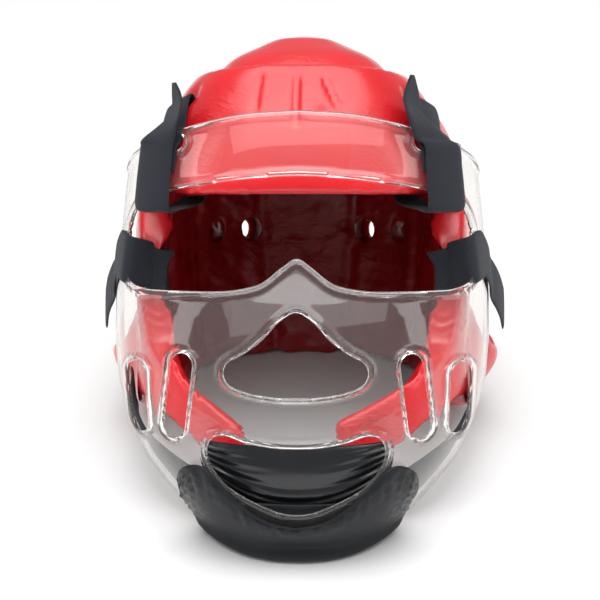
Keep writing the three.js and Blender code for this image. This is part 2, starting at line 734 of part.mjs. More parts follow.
function chinStrap() {
  const steps = 30;
  const lie = CHIN_STRAP.thick / 2 + TOUCH;
  const lines = [-0.5, -0.17, 0.17, 0.5].map((w) => Array.from({ length: steps + 1 }, (_, i) => {
    const turn = mix(-CHIN_STRAP.anchor, CHIN_STRAP.anchor, i / steps);
    const at = (name) => column(CHIN_STRAP_ROUTE, 'azimuth', name, Math.abs(turn));
    const azimuth = rad(turn);
    const flat = (at('flat') * Math.PI) / 2;
    const rise = mix(Math.cos(flat), 1, Math.sin(flat) * Math.sin(rad(LEAN)));
    const z = at('height') * SHIELD.bottom + w * CHIN_STRAP.width * rise;
    const inShield = onShield(z, azimuth) - SHIELD.wall - lie - TOUCH;
    const onFoam = padOuter(z, azimuth) + EAR.bulge * earSwell(azimuth, z) + lie + 4 * TOUCH;
    const radius = Math.min(mix(inShield - at('inset'), onFoam, at('foam')), inShield);
    const inward = w * CHIN_STRAP.width * Math.sin(flat) * Math.cos(rad(LEAN));
    return polar(radius - inward, azimuth, z);
  }));
  return strapFaces(lines, CHIN_STRAP.thick);
}

const PAINT = {
  foam: { color: 0xd8232c, roughness: 0.25, metalness: 0 },
  clear: { color: 0xe8eef0, roughness: 0.05, metalness: 0, transparent: true, opacity: 0.35 },
  webbing: { color: 0x15161a, roughness: 0.8, metalness: 0 },
  leather: { color: 0x1c1d21, roughness: 0.5, metalness: 0 },
  vinyl: { color: 0x0c0e12, roughness: 0.2, metalness: 0 },
};

function piece(name, geometry, paint) {
  const flat = geometry.index ? geometry.toNonIndexed() : geometry;
  flat.computeVertexNormals();
  const mesh = new THREE.Mesh(flat, new THREE.MeshStandardMaterial(PAINT[paint]));
  mesh.name = name;
  return mesh;
}

// The cup's lowest point settles the floor, and a small flat on it carries the front
const cup = chinCup();
const spots = cup.attributes.position;
const lows = Array.from({ length: spots.count }, (_, i) => heightOverFloor(spots.getY(i), spots.getZ(i)));
const floor = Math.min(...lows) + CHIN.flat;

const worn = new THREE.Group();
worn.add(piece('headgear_shell', headgearShell(floor), 'foam'));
worn.add(piece('face_shield', faceShield(), 'clear'));
worn.add(piece('brow_strap_left', browStrap(1), 'webbing'));
worn.add(piece('brow_strap_right', browStrap(-1), 'webbing'));
worn.add(piece('side_strap_left', sideStrap(1), 'webbing'));
worn.add(piece('side_strap_right', sideStrap(-1), 'webbing'));
worn.add(piece('chin_cup', geometryFrom(aboveFloor(solid(cup), floor)), 'leather'));
worn.add(piece('chin_pad', chinPad(), 'vinyl'));
worn.add(piece('chin_strap', chinStrap(), 'webbing'));
worn.rotation.x = -rad(LEAN);
worn.position.z = -floor;

const headgear = new THREE.Group();
headgear.add(worn);
headgear.updateMatrixWorld(true);
const box = new THREE.Box3().setFromObject(headgear, true);
worn.position.x -= (box.min.x + box.max.x) / 2;
worn.position.y -= (box.min.y + box.max.y) / 2;

export default headgear;
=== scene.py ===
# %% [markdown]
# Sparring headgear with a clear face shield.
# The real thing is a thick foam shell dipped in glossy red vinyl, with one moulded clear sheet strapped
# over the face. This lesson rebuilds every visible piece around the fixed frame of plain solids: each
# surface is a small formula on a grid, worked out with numpy and put into a mesh in one go.

# %% Load the frame and the tools
import math

import bpy
import numpy as np
from mathutils import Matrix, Vector


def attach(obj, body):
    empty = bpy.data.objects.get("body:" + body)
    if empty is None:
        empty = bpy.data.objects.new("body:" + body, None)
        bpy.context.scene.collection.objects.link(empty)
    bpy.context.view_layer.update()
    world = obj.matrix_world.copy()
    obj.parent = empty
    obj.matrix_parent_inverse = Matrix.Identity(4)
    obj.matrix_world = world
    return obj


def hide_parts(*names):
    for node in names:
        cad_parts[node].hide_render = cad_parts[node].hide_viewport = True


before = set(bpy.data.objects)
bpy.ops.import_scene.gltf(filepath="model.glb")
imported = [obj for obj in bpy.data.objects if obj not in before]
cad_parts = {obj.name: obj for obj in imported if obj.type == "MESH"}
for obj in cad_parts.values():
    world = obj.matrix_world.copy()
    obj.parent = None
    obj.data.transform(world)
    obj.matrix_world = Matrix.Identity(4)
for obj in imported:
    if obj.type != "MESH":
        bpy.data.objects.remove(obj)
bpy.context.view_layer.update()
MM = 0.001
print("frame nodes:", sorted(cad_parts))

# %% [markdown]
# The headgear lies on its nape and its chin cup, so it leans back. Shapes are easier to think of as
# worn: x to the wearer's left, the face towards -y, z up, and the origin between the ears. Every formula
# below works in millimetres in that worn frame, and one function leans the result into the resting place.

# %% From the worn frame to the resting one
LEAN = math.radians(25)
CROWN = 167.0
UP = np.array([0.0, math.sin(LEAN), math.cos(LEAN)])


def node_points(name):
    """All vertices of a CAD node, in metres, as an array with one row each."""
    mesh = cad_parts[name].data
    flat = np.empty(3 * len(mesh.vertices), np.float32)
    mesh.vertices.foreach_get("co", flat)
    return flat.reshape(-1, 3).astype(float)


shell_points = node_points("headgear_shell")
crown_point = shell_points[np.argmax(shell_points @ UP)]
SEAT = np.array([0.0, *(crown_point - CROWN * MM * UP)[1:]])


def rest(points):
    """Worn millimetres to resting metres: turned back by the lean about x, then moved to the seat."""
    x, y, z = (np.asarray(points, float) * MM).T
    c, s = math.cos(LEAN), math.sin(LEAN)
    return np.stack([x, y * c + z * s, z * c - y * s], axis=-1) + SEAT


print("seat of the worn origin, mm:", np.round(SEAT / MM, 2))

# %% [markdown]
# Three little tools carry the whole model. A named table holds a few sections, and a cubic between its
# rows gives every value in between. A rounded-box formula gives the plan of a head at any azimuth. A mesh
# is filled with foreach_set, which is many times quicker than adding faces one by one.

# %% Tables, plans and meshes
PLAN_POWER = 2.6


def table(names, *rows):
    """A table with named columns, one array each."""
    return dict(zip(names.split(), np.array(rows, float).T))


def column(rows, key, name, at):
    """Smooth value of one column: a cubic between rows whose slopes come from the rows on both sides."""
    k, v = rows[key], rows[name]
    if k[0] > k[-1]:
        k, v = k[::-1], v[::-1]
    last = len(k) - 1
    i = np.clip(np.searchsorted(k, at, side="right") - 1, 0, last - 1)
    before, after = np.maximum(i - 1, 0), np.minimum(i + 2, last)
    span = k[i + 1] - k[i]
    t = np.clip((at - k[i]) / span, 0, 1)
    slope_a = (v[i + 1] - v[before]) / (k[i + 1] - k[before])
    slope_b = (v[after] - v[i]) / (k[after] - k[i])
    ends = (2 * t**3 - 3 * t**2 + 1) * v[i] + (3 * t**2 - 2 * t**3) * v[i + 1]
    return ends + span * ((t**3 - 2 * t**2 + t) * slope_a + (t**3 - t**2) * slope_b)


def by_row(rows, name, place):
    """Smooth value of one column at a place counted in rows."""
    counted = {"row": np.arange(len(rows[name]), dtype=float), name: rows[name]}
    return column(counted, "row", name, place)


def reach(half_width, depth, azimuth):
    """Distance from the upright axis to a rounded-box plan curve at an azimuth; 0 is the face."""
    across = np.abs(np.sin(azimuth) / half_width) ** PLAN_POWER
    along = np.abs(np.cos(azimuth) / depth) ** PLAN_POWER
    return (across + along) ** (-1 / PLAN_POWER)


def polar(radius, azimuth, z):
    """Points at a distance from the axis, an azimuth and a height."""
    radius, azimuth, z = np.broadcast_arrays(radius, azimuth, z)
    return np.stack([radius * np.sin(azimuth), -radius * np.cos(azimuth), z], axis=-1)


def smoothstep(low, high, value):
    """0 below low, 1 above high, and an S curve between them."""
    t = np.clip((value - low) / (high - low), 0, 1)
    return t * t * (3 - 2 * t)


def grid_faces(rows, columns, wrap=False):
    """Quads of a grid of points that runs row by row; wrap joins the last column to the first."""
    i = np.arange(rows - 1)[:, None]
    j = np.arange(columns if wrap else columns - 1)[None, :]
    k = (j + 1) % columns
    corners = [i * columns + j, i * columns + k, (i + 1) * columns + k, (i + 1) * columns + j]
    return np.stack(np.broadcast_arrays(*corners), axis=-1).reshape(-1, 4)


def mesh_object(name, points, *face_arrays, uv=None):
    """Object from resting points in metres and arrays of quads or triangles; uv is given per point."""
    mesh = bpy.data.meshes.new(name)
    mesh.vertices.add(len(points))
    mesh.vertices.foreach_set("co", np.asarray(points, np.float32).ravel())
    loops = np.concatenate([faces.ravel() for faces in face_arrays]).astype(np.int32)
    sizes = np.concatenate([np.full(len(faces), faces.shape[1]) for faces in face_arrays])
    mesh.loops.add(len(loops))
    mesh.loops.foreach_set("vertex_index", loops)
    mesh.polygons.add(len(sizes))
    mesh.polygons.foreach_set("loop_start", np.concatenate([[0], np.cumsum(sizes)[:-1]]).astype(np.int32))
    if uv is not None:
        layer = mesh.uv_layers.new(name="UVMap")
        layer.data.foreach_set("uv", np.asarray(uv, np.float32)[loops].ravel())
    mesh.update(calc_edges=True)
    mesh.validate()
    mesh.polygons.foreach_set("use_smooth", np.ones(len(mesh.polygons), bool))
    piece = bpy.data.objects.new(name, mesh)
    bpy.context.scene.collection.objects.link(piece)
    return piece


def apply_modifiers(piece):
    """Replace a piece's mesh by what its modifiers make of it."""
    graph = bpy.context.evaluated_depsgraph_get()
    made = bpy.data.meshes.new_from_object(piece.evaluated_get(graph), depsgraph=graph)
    piece.modifiers.clear()
    piece.data = made


def get_points(piece):
    flat = np.empty(3 * len(piece.data.vertices), np.float32)
    piece.data.vertices.foreach_get("co", flat)
    return flat.reshape(-1, 3).astype(float)


def set_points(piece, points):
    piece.data.vertices.foreach_set("co", np.asarray(points, np.float32).ravel())
    piece.data.update()


def point_attribute(piece, name, values):
    """A named number for every vertex, which a material can read."""
    layer = piece.data.attributes.new(name, "FLOAT", "POINT")
    layer.data.foreach_set("value", np.asarray(values, np.float32).ravel())


FLOOR_CLEARANCE = 0.0002


def above_floor(points):
    """Resting points with none of them lower than a hair above the floor."""
    return np.concatenate([points[:, :2], np.maximum(points[:, 2:], FLOOR_CLEARANCE)], axis=1)


def surface_with(piece, material):
    """One smooth-shaded material on the mesh that the modifiers left."""
    piece.data.materials.clear()
    piece.data.materials.append(material)
    piece.data.polygons.foreach_set("use_smooth", np.ones(len(piece.data.polygons), bool))


def stand_for(piece, node_name):
    """The piece takes a CAD node's place and rides on the one body."""
    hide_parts(node_name)
    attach(piece, "root")


def smooth_loop(points, steps):
    """Closed curve through chosen points, with centripetal tangents so that it never overshoots."""
    p1 = np.asarray(points, float)
    p0, p2, p3 = np.roll(p1, 1, axis=0), np.roll(p1, -1, axis=0), np.roll(p1, -2, axis=0)
    gap = lambda a, b: np.sqrt(np.linalg.norm(b - a, axis=1))[:, None]
    d0, d1, d2 = gap(p0, p1), gap(p1, p2), gap(p2, p3)
    m1 = ((p1 - p0) / d0 - (p2 - p0) / (d0 + d1) + (p2 - p1) / d1) * d1
    m2 = ((p2 - p1) / d1 - (p3 - p1) / (d1 + d2) + (p3 - p2) / d2) * d1
    t = np.linspace(0, 1, steps, endpoint=False)[None, :, None]
    p1, p2, m1, m2 = (a[:, None, :] for a in (p1, p2, m1, m2))
    curve = (2 * t**3 - 3 * t**2 + 1) * p1 + (t**3 - 2 * t**2 + t) * m1
    curve = curve + (3 * t**2 - 2 * t**3) * p2 + (t**3 - t**2) * m2
    return curve.reshape(-1, p1.shape[-1])


def mirrored(half, steps):
    """Closed outline whose right half is chosen, from the top middle to the bottom middle."""
    half = np.asarray(half, float)
    left = half[1:-1][::-1] * [-1, 1]
    return smooth_loop(np.concatenate([half, left]), steps)


# %% [markdown]
# Wrinkles are the soul of dipped vinyl. A cheap way to get them without any picture is a sum of a few
# sine waves whose directions and phases come from a seeded random generator: smooth, endless, and the
# same on every run.

# %% Seeded ripples
def ripples(points, size, seed, waves=12):
    """Sum of sine waves of about one size in mm, in random directions, scaled to lie mostly within 1."""
    draw = np.random.default_rng(seed)
    ways = draw.normal(size=(waves, 3))
    ways /= np.linalg.norm(ways, axis=1)[:, None]
    ways *= (2 * np.pi / size) * draw.uniform(0.7, 1.4, size=(waves, 1))
    phases = draw.uniform(0, 2 * np.pi, size=waves)
    total = np.zeros(len(points))
    for way, phase in zip(ways, phases):
        total += np.sin(points @ way + phase)
    return total / math.sqrt(waves)


# %% [markdown]
# Materials come first, so that each piece can take its own when it is made. Effects that several finishes
# share are node groups: one for fine creases, one for a woven surface. They put out heights and masks
# only; the shader itself, with its constants, stays in each material.

# %% A node group for fine creases
def new_group(name, inputs, outputs):
    """Empty shader group with float sockets: inputs are (name, default), outputs are names."""
    group = bpy.data.node_groups.new(name, "ShaderNodeTree")
    for label, value in inputs:
        if value is None:
            group.interface.new_socket(label, in_out="INPUT", socket_type="NodeSocketVector")
            continue
        socket = group.interface.new_socket(label, in_out="INPUT", socket_type="NodeSocketFloat")
        socket.default_value = value
    for label in outputs:
        group.interface.new_socket(label, in_out="OUTPUT", socket_type="NodeSocketFloat")
    return group, group.nodes.new("NodeGroupInput"), group.nodes.new("NodeGroupOutput")


def node(tree, kind, **settings):
    """A node with its properties set by name, and its sockets by name through inputs."""
    made = tree.nodes.new(kind)
    values = settings.pop("inputs", {})
    for label, value in settings.items():
        setattr(made, label, value)
    for label, value in values.items():
        made.inputs[label].default_value = value
    return made


def math_node(tree, operation, a, b=None):
    """A Math node on two sockets or numbers."""
    made = tree.nodes.new("ShaderNodeMath")
    made.operation = operation
    for slot, value in zip(made.inputs, (a, b)):
        if value is None:
            continue
        if isinstance(value, (int, float)):
            slot.default_value = value
        else:
            tree.links.new(value, slot)
    return made.outputs[0]


crease_group, crease_in, crease_out = new_group(
    "fine_creases", [("Place", None), ("Scale", 120.0), ("Stretch", 3.0)], ["Height", "Mask"])
stretch = node(crease_group, "ShaderNodeVectorMath", operation="MULTIPLY")
stretch_by = node(crease_group, "ShaderNodeCombineXYZ", inputs={"X": 1.0, "Y": 1.0})
crease_group.links.new(crease_in.outputs["Stretch"], stretch_by.inputs["Z"])
crease_group.links.new(crease_in.outputs["Place"], stretch.inputs[0])
crease_group.links.new(stretch_by.outputs[0], stretch.inputs[1])
folds = node(crease_group, "ShaderNodeTexNoise", inputs={"Detail": 3.0, "Roughness": 0.55, "Distortion": 0.8})
crease_group.links.new(stretch.outputs[0], folds.inputs["Vector"])
crease_group.links.new(crease_in.outputs["Scale"], folds.inputs["Scale"])
areas = node(crease_group, "ShaderNodeTexNoise", inputs={"Scale": 14.0, "Detail": 1.0})
crease_group.links.new(crease_in.outputs["Place"], areas.inputs["Vector"])
ridge = math_node(crease_group, "ABSOLUTE", math_node(crease_group, "SUBTRACT", folds.outputs["Fac"], 0.5))
patch = node(crease_group, "ShaderNodeMapRange", inputs={"From Min": 0.5, "From Max": 0.68})
crease_group.links.new(areas.outputs["Fac"], patch.inputs["Value"])
crease_height = math_node(crease_group, "MULTIPLY", ridge, patch.outputs[0])
crease_group.links.new(crease_height, crease_out.inputs["Height"])
crease_group.links.new(patch.outputs[0], crease_out.inputs["Mask"])

# %% [markdown]
# Webbing is woven in fine slanting rows with a rib along each. Two sine waves over the strap's own UV map,
# which is in metres, give the rows at their real size: one runs slantwise over both directions, and one
# runs across only. No picture is needed, and the rows follow every bend of the strap.

# %% A node group for woven webbing
weave_group, weave_in, weave_out = new_group(
    "woven_rows", [("Across", 0.0), ("Along", 0.0), ("Rib", 900.0), ("Pick", 1500.0)], ["Height", "Mask"])
along_picks = math_node(weave_group, "MULTIPLY", weave_in.outputs["Along"], weave_in.outputs["Pick"])
across_ribs = math_node(weave_group, "MULTIPLY", weave_in.outputs["Across"], weave_in.outputs["Rib"])
diagonal = math_node(weave_group, "SINE", math_node(weave_group, "ADD", along_picks, across_ribs))
ribs = math_node(weave_group, "SINE", math_node(weave_group, "MULTIPLY", across_ribs, 2.0))
weave_height = math_node(weave_group, "ADD", diagonal, math_node(weave_group, "MULTIPLY", ribs, 0.5))
weave_group.links.new(weave_height, weave_out.inputs["Height"])
weave_mask = math_node(weave_group, "MULTIPLY", math_node(weave_group, "ADD", diagonal, 1.0), 0.5)
weave_group.links.new(weave_mask, weave_out.inputs["Mask"])


# %% [markdown]
# Every finish below has the same skeleton: a Principled BSDF whose constants are set on its own sockets, a
# colour that varies between two tones, and a bump. Six small helpers spell that out once, so that each
# finish is only a few lines that name its tones and sizes.

# %% Helpers for the finishes
def principled(name, **sockets):
    """A material whose Principled BSDF has constants set straight on its sockets."""
    material = bpy.data.materials.new(name)
    material.use_nodes = True
    shader = material.node_tree.nodes["Principled BSDF"]
    for label, value in sockets.items():
        shader.inputs[label.replace("_", " ")].default_value = value
    return material, material.node_tree, shader


def bump(tree, shader, height, strength, distance):
    """A Bump node between a height and the shader's normal."""
    made = node(tree, "ShaderNodeBump", inputs={"Strength": strength, "Distance": distance})
    tree.links.new(height, made.inputs["Height"])
    tree.links.new(made.outputs[0], shader.inputs["Normal"])


def colour_mix(tree, factor, a, b, blend="MIX"):
    """A colour Mix node; a and b are colours or sockets."""
    made = node(tree, "ShaderNodeMix", data_type="RGBA", blend_type=blend)
    for label, value in (("A", a), ("B", b)):
        if isinstance(value, tuple):
            made.inputs[label].default_value = (*value, 1)
        else:
            tree.links.new(value, made.inputs[label])
    tree.links.new(factor, made.inputs["Factor"])
    return made.outputs["Result"]


def map_range(tree, value, low, high):
    """A Map Range node that takes 0 to 1 onto low to high."""
    made = node(tree, "ShaderNodeMapRange", inputs={"To Min": low, "To Max": high})
    tree.links.new(value, made.inputs["Value"])
    return made.outputs[0]


def noise(tree, place, scale, detail):
    """Noise over a place, as a value around 0.5."""
    made = node(tree, "ShaderNodeTexNoise", inputs={"Scale": scale, "Detail": detail})
    tree.links.new(place, made.inputs["Vector"])
    return made.outputs["Fac"]


def creases_on(tree, place, scale, stretched):
    """The group of fine creases, placed in a material."""
    made = node(tree, "ShaderNodeGroup", node_tree=crease_group)
    made.inputs["Scale"].default_value = scale
    made.inputs["Stretch"].default_value = stretched
    tree.links.new(place, made.inputs["Place"])
    return made


# %% [markdown]
# Red vinyl: a saturated pigment under a clear glossy skin. The colour varies a little, the skin is a bit
# rougher in patches, and fine creases only come in patches too, as on the real dip. In the hollow, which an
# attribute marks, the colour is darkened as painted shade and the coat is thinner. Light Path gives bounced
# light a calmer red, so that the floor does not blush.

# %% Red dipped vinyl
red, tree, shader = principled(
    "red_dipped_vinyl", Roughness=0.3, IOR=1.5, Coat_Weight=0.5, Coat_Roughness=0.2)
place = node(tree, "ShaderNodeTexCoord").outputs["Object"]
pigment = node(tree, "ShaderNodeValToRGB")
for stop, position, colour in ((0, 0.3, (0.72, 0.008, 0.014, 1)), (1, 0.7, (0.84, 0.016, 0.024, 1))):
    pigment.color_ramp.elements[stop].color = colour
    pigment.color_ramp.elements[stop].position = position
tree.links.new(noise(tree, place, 22.0, 2.0), pigment.inputs["Fac"])
# The hollow attribute marks painted shade inside the shell: it darkens the colour there and thins the coat.
hollow = node(tree, "ShaderNodeAttribute", attribute_name="hollow").outputs["Fac"]
tree.links.new(map_range(tree, hollow, 0.5, 0.12), shader.inputs["Coat Weight"])
shaded_in_hollow = colour_mix(tree, hollow, pigment.outputs["Color"], (0.4, 0.25, 0.3), "MULTIPLY")
bounced = node(tree, "ShaderNodeLightPath").outputs["Is Diffuse Ray"]
tree.links.new(colour_mix(tree, bounced, shaded_in_hollow, (0.2, 0.02, 0.025)), shader.inputs["Base Color"])
creases = creases_on(tree, place, 95.0, 2.2)
tree.links.new(map_range(tree, creases.outputs["Mask"], 0.26, 0.4), shader.inputs["Roughness"])
bump(tree, shader, creases.outputs["Height"], 0.5, 0.004)

# %% [markdown]
# The clear sheet is real refracting plastic, so its beads and cut edges draw the bright and dark lines by
# themselves. A transmission just under 1 leaves a faint haze, and Layer Weight warms the sheet where it is
# seen edge on. Light Path lets shadow rays through, because otherwise a refracting sheet would leave the
# inside of the headgear in the dark.

# %% Clear polycarbonate
SHADOW_LET_THROUGH = 0.93
clear, tree, shader = principled(
    "clear_polycarbonate", Roughness=0.02, IOR=1.5, Transmission_Weight=0.972)
edge_on = node(tree, "ShaderNodeLayerWeight", inputs={"Blend": 0.4}).outputs["Facing"]
tint = colour_mix(tree, edge_on, (0.97, 0.96, 0.95), (0.78, 0.735, 0.68))
tree.links.new(tint, shader.inputs["Base Color"])
rays = node(tree, "ShaderNodeLightPath")
blocked = math_node(tree, "MULTIPLY", rays.outputs["Is Shadow Ray"], SHADOW_LET_THROUGH)
tree.links.new(math_node(tree, "SUBTRACT", 1.0, blocked), shader.inputs["Alpha"])
place = node(tree, "ShaderNodeTexCoord").outputs["Object"]
bump(tree, shader, noise(tree, place, 9.0, 1.0), 0.08, 0.004)

# %% [markdown]
# The webbing is black polyester. The tops of its rows carry a painted highlight where light would catch them:
# by the weave's mask the colour goes from near black in the valleys to slate on the tops, and the weave's
# height drives a small bump. A little sheen gives the soft edge that cloth has.

# %% Black webbing
webbing, tree, shader = principled(
    "black_webbing", Roughness=0.75, Sheen_Weight=0.1, Sheen_Roughness=0.4, Specular_IOR_Level=0.25)
thread = node(tree, "ShaderNodeUVMap", uv_map="UVMap")
split = node(tree, "ShaderNodeSeparateXYZ")
tree.links.new(thread.outputs[0], split.inputs[0])
weave = node(tree, "ShaderNodeGroup", node_tree=weave_group, inputs={"Rib": 4200.0, "Pick": 5200.0})
tree.links.new(split.outputs["X"], weave.inputs["Across"])
tree.links.new(split.outputs["Y"], weave.inputs["Along"])
# Painted highlight: the row tops get the lighter slate tone, the valleys stay near black.
row_top_highlight = colour_mix(tree, weave.outputs["Mask"], (0.009, 0.0105, 0.015), (0.036, 0.041, 0.054))
tree.links.new(row_top_highlight, shader.inputs["Base Color"])
bump(tree, shader, weave.outputs["Height"], 0.35, 0.0003)

# %% [markdown]
# The chin pocket is dull black leather with a fine pebble grain, for which Voronoi cells are enough. Where
# the leather is gathered it is stretched over the folds and shines more. The mesh carries that as an
# attribute, and it lowers the roughness.

# %% Matte leather
leather, tree, shader = principled(
    "matte_black_leather", Roughness=0.5, Sheen_Weight=0.03, Specular_IOR_Level=0.3)
place = node(tree, "ShaderNodeTexCoord").outputs["Object"]
grain = node(tree, "ShaderNodeTexVoronoi", inputs={"Scale": 900.0})
tree.links.new(place, grain.inputs["Vector"])
hide = colour_mix(tree, noise(tree, place, 60.0, 4.0), (0.0055, 0.0062, 0.0085), (0.0105, 0.012, 0.016))
tree.links.new(hide, shader.inputs["Base Color"])
gather = node(tree, "ShaderNodeAttribute", attribute_name="gather").outputs["Fac"]
tree.links.new(map_range(tree, gather, 0.52, 0.25), shader.inputs["Roughness"])
bump(tree, shader, grain.outputs["Distance"], 0.12, 0.0006)

# %% [markdown]
# The rest inside the pocket is black vinyl, wet looking next to the leather. It gets a coat over a smooth
# base, and the same crease group as the red dip, only finer.

# %% Glossy vinyl
vinyl, tree, shader = principled(
    "glossy_black_vinyl", Roughness=0.24, Coat_Weight=0.4, Coat_Roughness=0.12)
place = node(tree, "ShaderNodeTexCoord").outputs["Object"]
black = colour_mix(tree, noise(tree, place, 70.0, 3.0), (0.006, 0.007, 0.009), (0.016, 0.017, 0.02))
tree.links.new(black, shader.inputs["Base Color"])
bump(tree, shader, creases_on(tree, place, 160.0, 3.0).outputs["Height"], 0.6, 0.003)
print("materials:", [m.name for m in bpy.data.materials])


# %% [markdown]
# The foam shell. On the real headgear it is one block of foam, cut out for the face, dipped, with every
# edge rounded by the thick skin. A grid surface gives the outside and the hollow; Boolean modifiers cut
# the openings; a voxel remesh followed by smoothing then rounds all edges at once, which no bevel could do
# on such a cut. The fine forms (creases, dimples, wrinkles) come after the smoothing, so they stay crisp.

# %% Sizes and sections of the shell
SHELL = {"half_width": 103, "front": 104, "back": 114, "crown": CROWN, "chin": 82, "wall": 22}
RIDGE_DROP = 18
RIDGE_ROW = 10
EAR = {"bulge": 21, "room": 13, "radius": 40, "azimuth": 98, "height": -33, "hole": 9, "behind": 12}
FACE = {"top": 66, "pads": -62, "flap_wall": 12}
DOME_SINK = 4
BACK_HOLE = {"half_width": 4.3, "half_height": 7, "height": 42, "turns": (23.5, 39)}
CROWN_SLOT = {"width": 7, "from": 42, "to": 61, "below": 34, "step": 104, "share": 0.79}
OUTSIDE = 200

OUTER = table(
    "height fall width front back",
    [-0.2, 0, 0.99, 1, 0.965], [0, 0, 1, 1, 0.985], [0.18, 0, 1, 1, 1], [0.34, 0, 0.98, 1, 0.99],
    [0.45, 0, 0.95, 1, 0.965], [0.545, 0, 0.905, 0.985, 0.93], [0.625, 0.2, 0.855, 0.955, 0.89],
    [0.69, 0.45, 0.8, 0.915, 0.84], [0.745, 0.7, 0.745, 0.865, 0.79], [0.8, 0.9, 0.69, 0.81, 0.74],
    [0.842, 1, 0.62, 0.745, 0.67], [0.8, 0.8, 0.56, 0.665, 0.6], [0.845, 0.3, 0.5, 0.56, 0.54],
    [0.905, 0, 0.4, 0.45, 0.43], [0.95, 0, 0.285, 0.32, 0.31], [0.985, 0, 0.17, 0.19, 0.18],
)
INNER = table(
    "height width front back",
    [-0.22, 1, 1.36, 0.975], [0, 1, 1.36, 1], [0.25, 1, 1.33, 1], [0.37, 0.99, 1.16, 0.99],
    [0.46, 0.97, 1.01, 0.97], [0.56, 0.935, 0.98, 0.935], [0.67, 0.865, 0.92, 0.865],
    [0.775, 0.755, 0.82, 0.765], [0.86, 0.615, 0.67, 0.625], [0.93, 0.44, 0.48, 0.45],
    [0.98, 0.25, 0.27, 0.25],
)
HEM = table(
    "azimuth height",
    [0, -1], [22, -1], [33, -0.9], [42, -0.77], [52, -0.68], [66, -0.66], [82, -0.78], [98, -0.8],
    [118, -0.7], [145, -0.55], [180, -0.51],
)


def ear_swell(azimuth, z):
    """How far the ear cup swells out: half a cosine of the distance to its centre, from 1 to 0."""
    along = (np.abs(azimuth) - math.radians(EAR["azimuth"])) * SHELL["half_width"]
    away = np.hypot(along, z - EAR["height"]) / EAR["radius"]
    return np.where(away < 1, (1 + np.cos(np.pi * np.minimum(away, 1))) / 2, 0)


def ridge_drop(fall, azimuth):
    """The ridge falls by a share that grows from the face to the nape."""
    return RIDGE_DROP * fall * (1 - np.cos(azimuth)) / 2


def shell_radius(width, front, back, azimuth, inset):
    """Plan curve of the shell, moved inwards by an inset, with its own depth in front and behind."""
    ahead = np.cos(azimuth) > 0
    depth = np.where(ahead, (SHELL["front"] - inset) * front, (SHELL["back"] - inset) * back)
    return reach((SHELL["half_width"] - inset) * width, depth, azimuth)


def outer_rings(azimuth, place):
    """Points of the outside at places counted in rows of its table."""
    width, front, back = (by_row(OUTER, name, place) for name in ("width", "front", "back"))
    z = SHELL["crown"] * by_row(OUTER, "height", place) - ridge_drop(by_row(OUTER, "fall", place), azimuth)
    radius = shell_radius(width, front, back, azimuth, 0) + EAR["bulge"] * ear_swell(azimuth, z)
    return radius, z - DOME_SINK * smoothstep(0.84 * SHELL["crown"], 0.97 * SHELL["crown"], z)


def pad_outer(z, azimuth):
    """Outer radius of the foam at a height, up to the ridge and without the ear cups."""
    pad = {name: values[:RIDGE_ROW + 1] for name, values in OUTER.items()}
    share = z / SHELL["crown"]
    for _ in range(3):
        share = (z + ridge_drop(column(pad, "height", "fall", share), azimuth)) / SHELL["crown"]
    width, front, back = (column(pad, "height", name, share) for name in ("width", "front", "back"))
    return shell_radius(width, front, back, azimuth, 0)


def inner_rings(azimuth, place):
    """Points of the hollow at places counted in rows; in the jaw flaps it keeps a flap's wall."""
    width, front, back = (by_row(INNER, name, place) for name in ("width", "front", "back"))
    z = (SHELL["crown"] - SHELL["wall"]) * by_row(INNER, "height", place)
    radius = shell_radius(width, front, back, azimuth, SHELL["wall"]) + EAR["room"] * ear_swell(azimuth, z)
    most = pad_outer(z, azimuth) - FACE["flap_wall"] + EAR["room"] * ear_swell(azimuth, z)
    most = most + (FACE["flap_wall"] - 3) * smoothstep(0, 36, z)
    return np.where(z < FACE["top"] - 10, np.minimum(radius, most), radius), z


def shell_blank():
    """Closed skin: up the outside from the hem, over the crown, and down the hollow back to the hem."""
    around, up, skirt = 160, 66, 8
    azimuth = np.linspace(-np.pi, np.pi, around, endpoint=False)[None, :]
    hem = SHELL["chin"] * column(HEM, "azimuth", "height", np.degrees(np.abs(azimuth)))
    outer_r, outer_z = outer_rings(azimuth, np.linspace(0, len(OUTER["height"]) - 1, up)[:, None])
    inner_r, inner_z = inner_rings(azimuth, np.linspace(0, len(INNER["height"]) - 1, up)[:, None])
    share = np.linspace(0, 1, skirt, endpoint=False)[:, None]
    foot_z = hem + (outer_z[:1] - hem) * share
    lip_z = hem + (inner_z[:1] - hem) * share
    swell = lambda amount, z: amount * ear_swell(azimuth, z)
    foot_r = outer_r[:1] - swell(EAR["bulge"], outer_z[:1]) + swell(EAR["bulge"], foot_z)
    lip_r = inner_r[:1] - swell(EAR["room"], inner_z[:1]) + swell(EAR["room"], lip_z)
    rings = np.concatenate([
        polar(outer_r, azimuth, outer_z)[::-1], polar(foot_r, azimuth, foot_z)[::-1],
        polar(lip_r, azimuth, lip_z), polar(inner_r, azimuth, inner_z)])
    top, hollow = (0, 0, SHELL["crown"] - DOME_SINK), (0, 0, SHELL["crown"] - SHELL["wall"])
    points = np.concatenate([rings.reshape(-1, 3), [top, hollow]])
    quads = grid_faces(len(rings), around, wrap=True)[:, ::-1]
    j = np.arange(around)
    k = (j + 1) % around
    last = (len(rings) - 1) * around
    fans = np.concatenate([
        np.stack([np.full(around, len(points) - 2), j, k], axis=1),
        np.stack([np.full(around, len(points) - 1), last + k, last + j], axis=1)])
    return mesh_object("foam_shell", rest(points), quads, fans)


# %% [markdown]
# Each opening of the shell is cut by a closed prism: an outline drawn in the view in which it is easiest to
# see (from the front, from the side, from the top, or along a vent), pushed through the foam. Cutting is
# done before the rounding, so that every cut edge gets the same soft lip.

